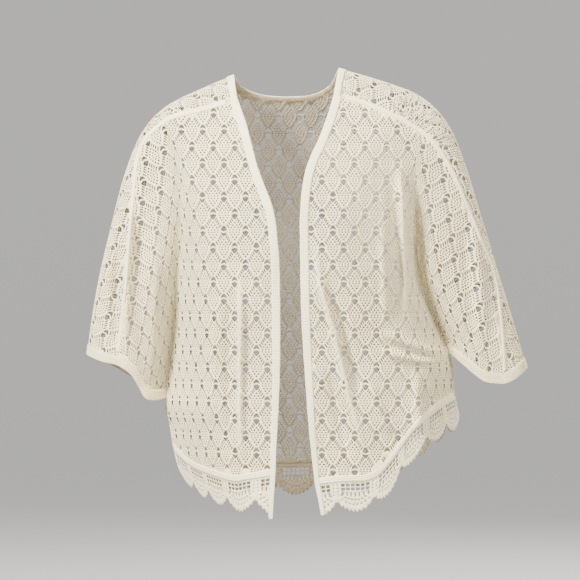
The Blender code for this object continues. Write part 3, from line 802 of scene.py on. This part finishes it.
def sheet_pieces(names, mid, flat, tris, group, wall, mat):
    """Closed cloth pieces from one sheet, with shading that runs on across the cuts between them."""
    tris = np.array(tris)
    points, n = both_sides(mid, tris, wall), len(mid)
    uv = np.vstack([flat, flat])
    # 1 on the inner side, where painted shade darkens the colour; the walls of the holes blend halfway.
    inner = np.repeat([0.0, 1.0], n)

    def faces_of(part):
        out = part.tolist() + (part[:, ::-1] + n).tolist()
        out += [(b, a, a + n, b + n) for a, b in open_edges(part.tolist())]
        return out

    if len(names) == 1:
        return [put_mesh(names[0], points, faces_of(tris), uv, mat, inner=inner)]
    whole = bpy.data.meshes.new("whole")
    whole.from_pydata(points.tolist(), [], faces_of(tris))
    normals = np.zeros(len(points) * 3)
    whole.vertex_normals.foreach_get("vector", normals)
    normals = normals.reshape(-1, 3)
    bpy.data.meshes.remove(whole)
    return [put_mesh(name, points, faces_of(tris[group == k]), uv, mat, normals, inner)
            for k, name in enumerate(names)]


def sizes_of(flat, tris):
    """Width, length and area of a flat cut."""
    p = flat[np.array(tris)]
    a, b = p[:, 1] - p[:, 0], p[:, 2] - p[:, 0]
    used = flat[np.unique(np.array(tris))]
    wide, long = used.max(0) - used.min(0)
    return float(wide), float(long), float(np.abs(a[:, 0] * b[:, 1] - a[:, 1] * b[:, 0]).sum() / 2)


# The flat area worked out for a piece is its yarn's area over this share, for the panels and for the trims.
LACE_YARN = 0.78
TRIM_YARN = 0.85
LEAST_SHARE = 0.31            # least of a sheet's box that the worked-out area covers


def declared(item, flat, tris, node, yarn_share=LACE_YARN):
    """The piece stands for its solid, which is hidden, and hangs from the root; its flat area is worked out
    but not used.
    """
    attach(item, "root")
    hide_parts(node)
    wide, long, area = sizes_of(flat, tris)
    area = min(max(area / yarn_share, LEAST_SHARE * wide * long), wide * long)


# The lace is cut this near to the bands' lines, so its last holes lie partly under them.
BAND_INNER = 6 * MM
CUFF_INNER = 11 * MM
SEAM_INNER = 2 * MM
HEM_INNER = 3 * MM
# The back is three pieces in the scene, cut at this far out.
BACK_CUT = 165 * MM


def build_panels(thick, mat):
    """The two lace fronts and the back, each cut in one with its half of the sleeves."""
    for side in ("left", "right"):
        name = "front_" + side
        cuff = cuff_path(side, "front")
        banded = [(opening_path(side), BAND_INNER), (cuff, CUFF_INNER),
                  (seam_path(side, "front"), SEAM_INNER), (hem_path(side)[0], HEM_INNER)]
        flat, tris = lace_cut(front_outline(side), banded, "front")
        piece = sheet_pieces([name + "_lace"], on_body(flat, "front"), flat, tris, None, thick, mat)[0]
        declared(piece, flat, tris, name)
    banded = [(neck_path(), BAND_INNER), (hem_path("back")[0], HEM_INNER)]
    for side in ("left", "right"):
        banded += [(cuff_path(side, "over"), CUFF_INNER), (cuff_path(side, "back"), CUFF_INNER),
                   (seam_path(side, "back"), SEAM_INNER)]
    flat, tris = lace_cut(back_outline(), banded, "back")
    tris = [f[::-1] for f in tris]
    middle = flat[np.array(tris)].mean(1)[:, 0]
    group = np.digitize(middle, [-BACK_CUT, BACK_CUT])
    names = ["back_lace_right", "back_lace_middle", "back_lace_left"]
    mid = on_body(flat, "back")
    for k, piece in enumerate(sheet_pieces(names, mid, flat, tris, group, thick, mat)):
        part = [t for t, g in zip(tris, group) if g == k]
        declared(piece, flat, part, "back")


# Holes of one scallop, in mm for a scallop of its plain width: how many, pitch, size and how far down.
WINDOWS, WINDOW_PITCH, WINDOW_SIZE, WINDOW_DOWN, WINDOW_ROW = 6, 6.5, (5.2, 4.2), 8.2, 5.4
PETALS, PETAL_PITCH, PETAL_SIZE, PETAL_DOWN, PETAL_RISE = 7, 5.6, (2.0, 5.6), 21.2, 0.25
NOTCH_DOTS, NOTCH_DOT, NOTCH_OUT, NOTCH_IN, NOTCH_DOWN, NOTCH_PITCH = 4, 1.8, 26 - 2.2, 0.4, 7.0, 4.6
# Rows that follow the scallop's edge: how many, spread, reach, how far above the edge, size, lean of
# the middle one, and more lean to the sides.
EDGE_ROWS = [(9, 4.6, 21.0, 14.6, (3.2, 1.7), 0.0, 0.5), (8, 4.3, 22.5, 8.4, (2.2, 2.2), math.pi / 4, 0.0)]


def trim_holes(total, count, start, drop_at):
    """Windows, petals and slots of every scallop, as points along the hem and down from it, in mm."""
    out = []
    pitch = total / count
    unit = pitch * MM / SCALLOP

    def four(x, down, size, lean=0.0):
        c, s = math.cos(lean), math.sin(lean)
        a, b = size[0] / 2, size[1] / 2
        corners = [(-a, -b), (a, -b), (a, b), (-a, b)]
        out.append(np.array([(x + px * c - pz * s, down + px * s + pz * c) for px, pz in corners]))

    def stretched(size):
        return size[0] * unit, size[1]

    for k in range(-1, math.ceil(count) + 1):
        middle = (k + start) * pitch
        for row in (0, 1):
            for i in range(WINDOWS):
                x = middle + (i - (WINDOWS - 1) / 2) * WINDOW_PITCH * unit
                four(x, WINDOW_DOWN + row * WINDOW_ROW, stretched(WINDOW_SIZE))
        for i in range(PETALS):
            off = i - (PETALS - 1) / 2
            x = middle + off * PETAL_PITCH * unit
            four(x, PETAL_DOWN - PETAL_RISE * off ** 2, stretched(PETAL_SIZE))
        for i in range(NOTCH_DOTS):
            for sign in (1, -1):
                x = middle + sign * (NOTCH_OUT - NOTCH_IN * i) * unit
                four(x, NOTCH_DOWN + NOTCH_PITCH * i, (NOTCH_DOT, NOTCH_DOT), math.pi / 4)
        for many, spread, reach, above, size, lean, tilt in EDGE_ROWS:
            for i in range(many):
                t = (i - (many - 1) / 2) / spread
                x = middle + reach * t * unit
                four(x, drop_at(x) - above, stretched(size), lean + tilt * t)
    return out


# Trims and hem bands: the part of the hem, its face, and its name in the pieces.
HEM_PARTS = (("back", "back", "back"), ("left", "front", "front_left"), ("right", "front", "front_right"))
# How far the trim runs down at its start beside the front band, and over what length, in mm.
TRIM_TIP = {"back": 0.0, "left": 3.0, "right": 17.0}
TIP_RUN = 16.0
# The scallop's arc and the beads on it: how full each is, then heights and insets in mm.
ARC_FULL = 0.7
BEAD_FULL = 0.95
BEAD_HIGH = 3.9
BEAD_INSET = 1.5
EDGE_INSET = 2.0
# Steps around one bead, and in mm the top edge under the hem band, the pitch of the points that carry
# the plain cloth, and how clear holes and points stay of the edge and of each other.
BEAD_STEPS = 8
TRIM_TOP = 0.3
TRIM_PITCH = 4.0
TRIM_FIRST = 3
HOLE_CLEAR = 1.0
POINT_CLEAR = 1.4
POINT_TO_HOLE = 3.6


def trim_drop(name, total, count):
    """How far down the trim's edge lies without its beads, for a distance along the hem, in mm."""
    low, deep = TRIM_NOTCH / MM, TRIM_MIDDLE / MM

    def drop_at(s):
        turns = math.pi * count * np.asarray(s) / total
        wave = np.abs(np.sin(turns) if name == "back" else np.cos(turns)) ** ARC_FULL
        tip = TRIM_TIP[name] * np.exp(-np.asarray(s) / TIP_RUN)
        return low + (deep - low) * wave - EDGE_INSET + tip

    return drop_at


def trim_cut(name, total, count, picots):
    """Flat trim with its holes, as points along the hem and down from it in mm, and its triangles."""
    drop_at = trim_drop(name, total, count)
    s = np.linspace(0, total, int(count * picots * BEAD_STEPS) + 1)
    bead = np.abs(np.sin(math.pi * picots * count * s / total)) ** BEAD_FULL
    edge = np.column_stack([s, drop_at(s) - BEAD_INSET + BEAD_HIGH * bead])
    steps = int(total / TRIM_PITCH)
    top = np.column_stack([np.linspace(total, 0, steps), np.full(steps, TRIM_TOP)])
    ring = np.vstack([edge, top])
    holes = []
    for hole in trim_holes(total, count, 0.5 if name == "back" else 0.0, drop_at):
        inside, far = within(hole, ring)
        if inside.all() and far.min() > HOLE_CLEAR:
            holes.append(hole)
    grid = np.array([(x, d) for x in np.arange(TRIM_FIRST, total - 2, TRIM_PITCH)
                     for d in np.arange(TRIM_FIRST, TRIM_MIDDLE / MM, TRIM_PITCH)])
    inside, far = within(grid, ring)
    clear = (far > POINT_CLEAR) & clear_of(holes, grid, POINT_TO_HOLE)
    return cut_sheet(ring, holes, grid[inside & clear])


def build_trims(thick, picots, mat):
    """The scalloped lace under the back's hem and the hem of each front."""
    for name, face, label in HEM_PARTS:
        path, run = hem_path(name)
        cut, tris = trim_cut(name, run[-1] / MM, scallops(run[-1], name), picots)
        tris = [f[::-1] for f in tris] if name in ("back", "right") else tris
        flat = hang(at_run(path, run, cut[:, 0] * MM), face, cut[:, 1] * MM)
        mid = on_body(flat, face)
        tris = outward(mid, tris, face)
        piece = sheet_pieces(["trim_" + label + "_lace"], mid, cut * MM, tris, None, thick, mat)[0]
        declared(piece, cut * MM, tris, "trim_" + label, TRIM_YARN)


def outward(points, tris, face):
    """The triangles in the order that has their fronts away from the body."""
    p = points[np.array(tris)]
    lean = np.cross(p[:, 1] - p[:, 0], p[:, 2] - p[:, 0])[:, 1].sum()
    return tris if (lean < 0) == (face == "front") else [f[::-1] for f in tris]


# Middle of a band above the middle of the lace, the front band's width, and the section of all bands:
# the share of the width, and how far up in mm.
LAID = 1.3 * MM
BAND_SEEN = 11.4 * MM
BAND_SECTION = [(0.0, -0.6), (0.0, 0.2), (0.06, 0.6), (0.3, 0.62), (0.7, 0.58), (0.94, 0.42),
                (1.0, 0.0), (1.0, -0.6), (0.5, -0.6)]


def stitched(path, pitch=4.3 * MM, high=0.45 * MM):
    """Small uneven bumps along an edge, as offsets for each point."""
    run = run_along(path)
    wave = np.abs(np.sin(math.pi * run / pitch + 1.3 * np.sin(run * 61)))
    return -high * wave * (0.6 + 0.4 * np.sin(run * 173 + 1.0))


def strip_piece(name, points, along, wide, node, mat):
    """A closed strip from its rings of points, in the place of its solid."""
    n, m = points.shape[:2]
    faces = [(i * m + k, i * m + (k + 1) % m, (i + 1) * m + (k + 1) % m, (i + 1) * m + k)
             for i in range(n - 1) for k in range(m)]
    faces += [tuple(range(m))[::-1], tuple((n - 1) * m + k for k in range(m))]
    across = np.array([share for share, up in BAND_SECTION]) * wide
    uv = np.column_stack([np.tile(across, n), np.repeat(along, m)])
    points = points.reshape(-1, 3)
    piece = put_mesh(name, points, right_way(points, faces), uv, mat)
    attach(piece, "root")
    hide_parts(node)
    return piece


# Ribs over a band.
RIB = 0.11 * MM


def section_strip(name, runs, node, mat):
    """A puffed plain band along flat lines: each run is a flat path, a face, and two offsets."""
    rings = []
    for path, face, near, far, left in runs:
        rows = []
        for share, up in BAND_SECTION:
            line = offset_line(path, near + (far - near) * share, left)
            k = np.arange(len(path))
            rib = np.sin(k * 2.1) + np.sin(k * 3.7 + 9 * share) if 0.05 < share < 0.95 and up > 0 else 0
            rows.append(on_body(line, face, LAID + up * MM + RIB * rib))
        rings.append(np.stack(rows, axis=1))
    points = np.vstack(rings)
    along = run_along(points.mean(1))
    wide = float(np.max(np.abs(runs[0][3] - runs[0][2])))
    piece = strip_piece(name, points, along, wide, node, mat)


def right_way(points, faces):
    """The faces of a closed body with their fronts outside."""
    volume = 0.0
    for f in faces:
        for k in range(1, len(f) - 1):
            a, b, c = points[f[0]], points[f[k]], points[f[k + 1]]
            volume += a @ np.cross(b, c)
    return faces if volume > 0 else [f[::-1] for f in faces]


CUFF_STEP = 2.5 * MM
# A hem band: its ends and steps along the hem, its share above the hem line, and how flat it lies.
HEM_START, HEM_END, HEM_STEP = 5 * MM, 6 * MM, 4 * MM
HEM_ABOVE, HEM_PUFF, HEM_LOWER = 0.6, 0.8, 0.35


def fine(path, spacing=1.5 * MM):
    """A flat path again at close even steps, soft at its corners."""
    return even_path(smooth_path(path, 3), spacing)


# The front band from its tip up, and a seam tape from the neck down: runs in m, and shares of the width.
BAND_TAPER = ([0, 4 * MM, 60 * MM, 160 * MM, 260 * MM], [0.4, 0.5, 0.6, 0.82, 1.0])
TAPE_TAPER = ([0, 0.12, 0.3, 1], [0.85, 0.75, 0.45, 0.4])


def build_front_band(mat):
    """One band up the right front's edge, round the back of the neck and down the left one."""
    left = fine(opening_path("left", True))[::-1][:-1]
    right = fine(opening_path("right", True))[1:]
    neck = fine(neck_path())
    runs = [(left, "front", stitched(left), BAND_SEEN * np.interp(run_along(left), *BAND_TAPER), False),
            (neck, "back", stitched(neck), BAND_SEEN, True)]
    taper = np.interp(run_along(right[::-1]), *BAND_TAPER)[::-1]
    runs.append((right, "front", stitched(right), BAND_SEEN * taper, False))
    section_strip("front_band_knit", runs, "front_band", mat)


def build_cuff(side, mat):
    """A doubled band round the end of a sleeve."""
    runs = []
    for part, face in (("front", "front"), ("over", "back"), ("back", "back")):
        path = fine(cuff_path(side, part), CUFF_STEP)[1:]
        path = path if part == "over" else path[:-1]
        runs.append((path, face, stitched(path), CUFF_WIDTH, (side == "left") == (part == "front")))
    section_strip("cuff_%s_knit" % side, runs, "cuff_" + side, mat)


def build_seam_tape(side, mat):
    """A narrow tape over the shoulder and overarm seam, from the front band to the cuff."""
    path = fine(seam_path(side, "front"), 2 * MM)
    run = run_along(path)
    keep = (run > BAND_WIDTH + 2 * MM) & (run < run[-1] - CUFF_WIDTH - 2 * MM)
    path, run = path[keep], run[keep]
    half = SEAM_WIDTH / 2 * np.interp(run, *TAPE_TAPER)
    section_strip("seam_%s_knit" % side, [(path, "front", -half, half, True)], "seam_" + side, mat)


def build_hem(name, face, label, mat):
    """A band over the lower edge of a panel, clear of the front band and of the side seam."""
    path, at = hem_path(name)
    s = np.arange(HEM_START, at[-1] - HEM_END, HEM_STEP)
    place = at_run(path, at, s)
    rows = []
    for share, up in BAND_SECTION:
        flat = hang(place, face, HEM_WIDTH * (share - HEM_ABOVE))
        rows.append(on_body(flat, face, LAID + (up * HEM_PUFF - HEM_LOWER) * MM))
    strip_piece("hem_%s_knit" % label, np.stack(rows, axis=1), s, HEM_WIDTH, "hem_" + label, mat)


def build_bands(mat, cuff_mat):
    """All plain knit: the front band, the cuffs, the seam tapes and the hem bands."""
    build_front_band(mat)
    for side in ("left", "right"):
        build_cuff(side, cuff_mat)
        build_seam_tape(side, mat)
    for name, face, label in HEM_PARTS:
        build_hem(name, face, label, mat)


def add_node(tree, kind, settings=None):
    """A new shader node with constants on its sockets."""
    node = tree.nodes.new("ShaderNode" + kind)
    for label, value in (settings or {}).items():
        node.inputs[label].default_value = value
    return node


def new_group(name, result, settings):
    """A shader node group with one output and these inputs, and its two end nodes."""
    group = bpy.data.node_groups.new(name, "ShaderNodeTree")
    group.interface.new_socket(result, in_out="OUTPUT", socket_type="NodeSocketFloat")
    for label, value in settings.items():
        socket = group.interface.new_socket(label, in_out="INPUT", socket_type="NodeSocketFloat")
        socket.default_value = value
    return group, group.nodes.new("NodeGroupInput"), group.nodes.new("NodeGroupOutput")


def flat_place(tree):
    """Socket with a place on the flat cut."""
    uv = add_node(tree, "UVMap")
    uv.uv_map = "flat"
    return uv.outputs["UV"]


def wave_rows(tree, way, place, scale, settings):
    """Socket with soft rows along one way of a place."""
    rows = add_node(tree, "TexWave", settings)
    rows.wave_type, rows.bands_direction = "BANDS", way
    tree.links.new(scale, rows.inputs["Scale"])
    tree.links.new(place, rows.inputs["Vector"])
    return rows.outputs["Fac"]


def reckon(tree, operation, sockets, settings=None):
    """Socket with the sum or product of other sockets, by their index."""
    node = add_node(tree, "Math", settings)
    node.operation = operation
    for k, socket in sockets.items():
        tree.links.new(socket, node.inputs[k])
    return node.outputs["Value"]


def stitch_group():
    """Height of small knit stitches from the flat cut, for bump."""
    group, given, out = new_group("stitches", "Height", {"Wales": 180.0, "Courses": 260.0})
    place = flat_place(group)
    wales = wave_rows(group, "X", place, given.outputs["Wales"], {"Distortion": 2.5, "Detail": 2})
    courses = wave_rows(group, "Y", place, given.outputs["Courses"], {"Distortion": 3.0, "Detail": 2})
    fuzz = add_node(group, "TexNoise", {"Scale": 2600})
    group.links.new(place, fuzz.inputs["Vector"])
    both = reckon(group, "ADD", {0: wales, 1: courses})
    height = reckon(group, "MULTIPLY_ADD", {0: fuzz.outputs["Fac"], 2: both}, {1: 0.7})
    group.links.new(height, out.inputs["Height"])
    return group


def dots_group():
    """The faint dots of lace turned in double at a cuff, from the flat cut: a mask for their painted shade.
    """
    group, given, out = new_group("doubled_lace", "Dots", {"Rows": 100.0})
    turn = add_node(group, "Mapping", {"Rotation": (0, 0, math.pi / 4)})
    group.links.new(flat_place(group), turn.inputs["Vector"])
    rows = {k: wave_rows(group, way, turn.outputs["Vector"], given.outputs["Rows"], {"Distortion": 0.8})
            for k, way in enumerate(("X", "Y"))}
    sharp = add_node(group, "MapRange", {"From Min": 0.45, "From Max": 0.75})
    group.links.new(reckon(group, "MULTIPLY", rows), sharp.inputs["Value"])
    group.links.new(sharp.outputs["Result"], out.inputs["Dots"])
    return group


def colour_mix(tree, factor, first, second):
    """Socket with a colour between the first, a socket or a colour, and the second colour."""
    mix = add_node(tree, "Mix")
    mix.data_type = "RGBA"
    tree.links.new(factor, mix.inputs["Factor"])
    if isinstance(first, bpy.types.NodeSocket):
        tree.links.new(first, mix.inputs["A"])
    else:
        mix.inputs["A"].default_value = (*first, 1)
    mix.inputs["B"].default_value = (*second, 1)
    return mix.outputs["Result"]


def dot_yarn(mat, colour):
    """Faint dots over a yarn material, sunk, and darkened with painted shade for the holes of the doubled
    lace.
    """
    tree = mat.node_tree
    shade = tree.nodes["Principled BSDF"]
    hole_shade_dots = add_node(tree, "Group")
    hole_shade_dots.node_tree = dots_group()
    plain = shade.inputs["Base Color"].links[0].from_socket
    # The dots' pattern is the lace's own; their darker colour is painted shade.
    tree.links.new(colour_mix(tree, hole_shade_dots.outputs["Dots"], plain, colour), shade.inputs["Base Color"])
    sunk = add_node(tree, "Bump", {"Distance": 0.4 * MM, "Strength": 0.7})
    sunk.invert = True
    tree.links.new(hole_shade_dots.outputs["Dots"], sunk.inputs["Height"])
    tree.links.new(shade.inputs["Normal"].links[0].from_socket, sunk.inputs["Normal"])
    tree.links.new(sunk.outputs["Normal"], shade.inputs["Normal"])


def yarn_material(name, light, deep, inner, wales, courses, relief):
    """Soft cotton with uneven warmth and small stitches, with painted shade darkening its inner side."""
    mat = bpy.data.materials.new(name)
    mat.use_nodes = True
    tree = mat.node_tree
    shade = tree.nodes["Principled BSDF"]
    for label, value in (("Roughness", 0.88), ("Sheen Weight", 0.35), ("Sheen Roughness", 0.5)):
        shade.inputs[label].default_value = value
    cloud = add_node(tree, "TexNoise", {"Scale": 26, "Detail": 4})
    tree.links.new(add_node(tree, "TexCoord").outputs["Object"], cloud.inputs["Vector"])
    # Painted shade: the inner side, and the hole walls in part, are mixed toward a darker colour.
    side = add_node(tree, "Attribute")
    side.attribute_name = "inner"
    outer = colour_mix(tree, cloud.outputs["Fac"], light, deep)
    tree.links.new(colour_mix(tree, side.outputs["Fac"], outer, inner), shade.inputs["Base Color"])
    height = add_node(tree, "Group")
    height.node_tree = bpy.data.node_groups.get("stitches") or stitch_group()
    height.inputs["Wales"].default_value = wales
    height.inputs["Courses"].default_value = courses
    bump = add_node(tree, "Bump", {"Distance": relief, "Strength": 0.8})
    tree.links.new(height.outputs["Height"], bump.inputs["Height"])
    tree.links.new(bump.outputs["Normal"], shade.inputs["Normal"])
    return mat


# Soft round lamps: name, place, power, size and colour.
LAMPS = [("key", (-1.9, -1.9, 1.7), 560, 0.8, (1.0, 0.965, 0.90)),
         ("fill", (1.8, -2.3, 0.9), 150, 1.2, (1.0, 0.965, 0.91)),
         ("back", (1.2, 2.6, 1.5), 260, 1.2, (1.0, 0.975, 0.93))]
LAMP_AIM = (0, 0, -0.3)


def lamp(name, place, power, size, colour):
    """A round area lamp turned to the cardigan."""
    bpy.ops.object.light_add(type="AREA", location=place)
    item = bpy.context.object
    item.name = name
    item.rotation_euler = (Vector(LAMP_AIM) - Vector(place)).to_track_quat("-Z", "Y").to_euler()
    item.data.energy = power
    item.data.color = colour
    item.data.shape = "DISK"
    item.data.size = size
    return item


# The studio's floor and wall from the middle out: radius and height in m.
BOWL = [(0.0, -0.85), (4.5, -0.85), (7.5, -0.82), (9.6, -0.5), (10.8, 0.5), (11.2, 2.6), (11.2, 9.0)]
BOWL_TURNS = 48
BOWL_PAINT = (0.20, 0.198, 0.194)
WORLD_COLOUR = (0.9, 0.9, 0.92)
WORLD_LIGHT = 0.1


def studio_bowl(ground):
    """A round floor that turns up into a far wall on all sides, so that every view has the same ground."""
    rows = smooth_path(BOWL, 6)
    turns = BOWL_TURNS
    points = [(r * math.cos(a), r * math.sin(a), z) for r, z in rows[1:]
              for a in np.linspace(0, 2 * math.pi, turns, endpoint=False)]
    points.append((0.0, 0.0, rows[0][1]))
    faces = [(len(points) - 1, k, (k + 1) % turns) for k in range(turns)]
    for i in range(len(rows) - 2):
        for k in range(turns):
            after = (k + 1) % turns
            faces.append((i * turns + k, (i + 1) * turns + k, (i + 1) * turns + after, i * turns + after))
    mesh = bpy.data.meshes.new("studio_bowl")
    mesh.from_pydata(points, [], faces)
    mesh.polygons.foreach_set("use_smooth", [True] * len(mesh.polygons))
    mat = bpy.data.materials.new("studio_grey")
    mat.use_nodes = True
    tree = mat.node_tree
    shade = tree.nodes["Principled BSDF"]
    shade.inputs["Base Color"].default_value = (*BOWL_PAINT, 1)
    shade.inputs["Roughness"].default_value = 0.95
    shade.inputs["Emission Color"].default_value = (*ground, 1)
    ray = add_node(tree, "LightPath")
    tree.links.new(ray.outputs["Is Camera Ray"], shade.inputs["Emission Strength"])
    mesh.materials.append(mat)
    item = bpy.data.objects.new("studio_bowl", mesh)
    bpy.context.scene.collection.objects.link(item)
    return item


CAMERA_AIM = (-0.014, 0.0, -0.294)
CAMERA_FAR = 6.0
SENSOR_WIDE = 36.0
PICTURE_WIDE = 0.812


def build_stage(width, ground):
    """The camera level with the cardigan, three soft lamps, a dim sky and the pale ground."""
    bpy.ops.object.camera_add(location=(CAMERA_AIM[0], -CAMERA_FAR, CAMERA_AIM[2]),
                              rotation=(math.pi / 2, 0, 0))
    camera = bpy.context.object
    camera.name = "camera"
    camera.data.sensor_width = SENSOR_WIDE
    camera.data.lens = SENSOR_WIDE * CAMERA_FAR / width
    bpy.context.scene.camera = camera
    lamps = [lamp(*row) for row in LAMPS]
    world = bpy.data.worlds.new("studio")
    world.use_nodes = True
    sky = world.node_tree.nodes["Background"]
    sky.inputs["Color"].default_value = (*WORLD_COLOUR, 1)
    sky.inputs["Strength"].default_value = WORLD_LIGHT
    bpy.context.scene.world = world
    studio_bowl(ground)


def colour_setting(label, what, shade):
    """A colour in a settings group."""
    return FloatVectorProperty(name=label, description=what, default=shade, size=3, min=0, max=1,
                               subtype="COLOR")


class CardiganLace(bpy.types.PropertyGroup):
    thick: FloatProperty(name="Lace thickness", description="Thickness of the lace", default=0.75 * MM,
                         min=0.5 * MM, max=3 * MM, subtype="DISTANCE", unit="LENGTH")
    bump: FloatProperty(name="Stitch relief", description="Height of the small stitches", default=0.5 * MM,
                        min=0, max=1 * MM, subtype="DISTANCE", unit="LENGTH")
    light: colour_setting("Light shade", "Lighter cream of the panels", (0.97, 0.88, 0.58))
    deep: colour_setting("Deep shade", "Deeper cream of the panels", (0.94, 0.80, 0.44))
    # Colour of the painted shade on the cloth's inner side.
    inner: colour_setting("Inner side", "The cloth's inner side, in the garment's shade", (0.38, 0.31, 0.19))


class CardiganTrim(bpy.types.PropertyGroup):
    picots: IntProperty(name="Picots", description="Small beads on the edge of each scallop", default=9,
                        min=3, max=14)
    light: colour_setting("Light shade", "Lighter cream of the trims", (0.97, 0.89, 0.62))
    deep: colour_setting("Deep shade", "Deeper cream of the trims", (0.94, 0.82, 0.49))


class CardiganBands(bpy.types.PropertyGroup):
    light: colour_setting("Light shade", "Lighter cream of the plain bands", (0.97, 0.90, 0.64))
    deep: colour_setting("Deep shade", "Deeper cream of the plain bands", (0.94, 0.84, 0.53))


class CardiganCuffs(bpy.types.PropertyGroup):
    light: colour_setting("Light shade", "Lighter cream of the cuffs", (0.97, 0.87, 0.56))
    deep: colour_setting("Deep shade", "Deeper cream of the cuffs", (0.93, 0.79, 0.42))
    # Painted shade in the holes of the doubled lace.
    hole_shade_dots: colour_setting("Dots", "Faint dots of the lace that lies doubled in the cuffs", (0.52, 0.43, 0.27))


class CardiganStage(bpy.types.PropertyGroup):
    width: FloatProperty(name="Picture width", description="Width seen at the cardigan", min=0.4, max=3,
                         default=PICTURE_WIDE, subtype="DISTANCE", unit="LENGTH")
    ground: colour_setting("Ground", "Pale grey of the floor and the far wall", (0.50, 0.497, 0.487))


# Yarns: the settings with their colours, then wales and courses, the stitches' columns and rows.
YARNS = {"cream_lace": ("cardigan_lace", 180, 260), "cream_trim": ("cardigan_trim", 200, 240),
         "cream_band": ("cardigan_bands", 110, 150), "cream_cuff": ("cardigan_cuffs", 180, 260)}


def yarn(name):
    """The shared material of that name, made once."""
    if name in bpy.data.materials:
        return bpy.data.materials[name]
    scene = bpy.context.scene
    group, wales, courses = YARNS[name]
    shades = getattr(scene, group)
    mat = yarn_material(name, shades.light, shades.deep, scene.cardigan_lace.inner, wales, courses,
                        scene.cardigan_lace.bump)
    if name == "cream_cuff":
        dot_yarn(mat, shades.hole_shade_dots)
    return mat


class CARDIGAN_OT_panels(bpy.types.Operator):
    """Cut the lace fronts and back and put them on the body"""

    bl_idname = "cardigan.panels"
    bl_label = "Lace panels"

    def execute(self, context):
        build_panels(context.scene.cardigan_lace.thick, yarn("cream_lace"))
        return {"FINISHED"}


class CARDIGAN_OT_trims(bpy.types.Operator):
    """Hang the scalloped lace under the hem"""

    bl_idname = "cardigan.trims"
    bl_label = "Scalloped trims"

    def execute(self, context):
        scene = context.scene
        build_trims(scene.cardigan_lace.thick, scene.cardigan_trim.picots, yarn("cream_trim"))
        return {"FINISHED"}


class CARDIGAN_OT_bands(bpy.types.Operator):
    """Lay the plain knit bands, cuffs, hems and seam tapes"""

    bl_idname = "cardigan.bands"
    bl_label = "Plain bands"

    def execute(self, context):
        build_bands(yarn("cream_band"), yarn("cream_cuff"))
        return {"FINISHED"}


class CARDIGAN_OT_stage(bpy.types.Operator):
    """Set up the camera, the lamps and the backdrop"""

    bl_idname = "cardigan.stage"
    bl_label = "Stage"

    def execute(self, context):
        stage = context.scene.cardigan_stage
        build_stage(stage.width, stage.ground)
        return {"FINISHED"}


class CARDIGAN_PT_panel(bpy.types.Panel):
    """Settings and steps of the cardigan"""

    bl_label = "Cardigan"
    bl_idname = "CARDIGAN_PT_panel"
    bl_space_type = "VIEW_3D"
    bl_region_type = "UI"
    bl_category = "Cardigan"

    def draw(self, context):
        for name, group in GROUPS.items():
            for setting in group.__annotations__:
                self.layout.prop(getattr(context.scene, name), setting)
        for step in STEPS:
            self.layout.operator("cardigan." + step)


STEPS = ("bands", "trims", "panels", "stage")
GROUPS = {"cardigan_lace": CardiganLace, "cardigan_trim": CardiganTrim, "cardigan_bands": CardiganBands,
          "cardigan_cuffs": CardiganCuffs, "cardigan_stage": CardiganStage}
CLASSES = (*GROUPS.values(), CARDIGAN_OT_panels, CARDIGAN_OT_trims, CARDIGAN_OT_bands, CARDIGAN_OT_stage,
           CARDIGAN_PT_panel)


def register():
    for kind in CLASSES:
        bpy.utils.register_class(kind)
    for name, group in GROUPS.items():
        setattr(bpy.types.Scene, name, PointerProperty(type=group))


def unregister():
    for name in GROUPS:
        delattr(bpy.types.Scene, name)
    for kind in reversed(CLASSES):
        bpy.utils.unregister_class(kind)


def main():
    register()
    for step in STEPS:
        getattr(bpy.ops.cardigan, step)()


if __name__ == "__main__":
    main()
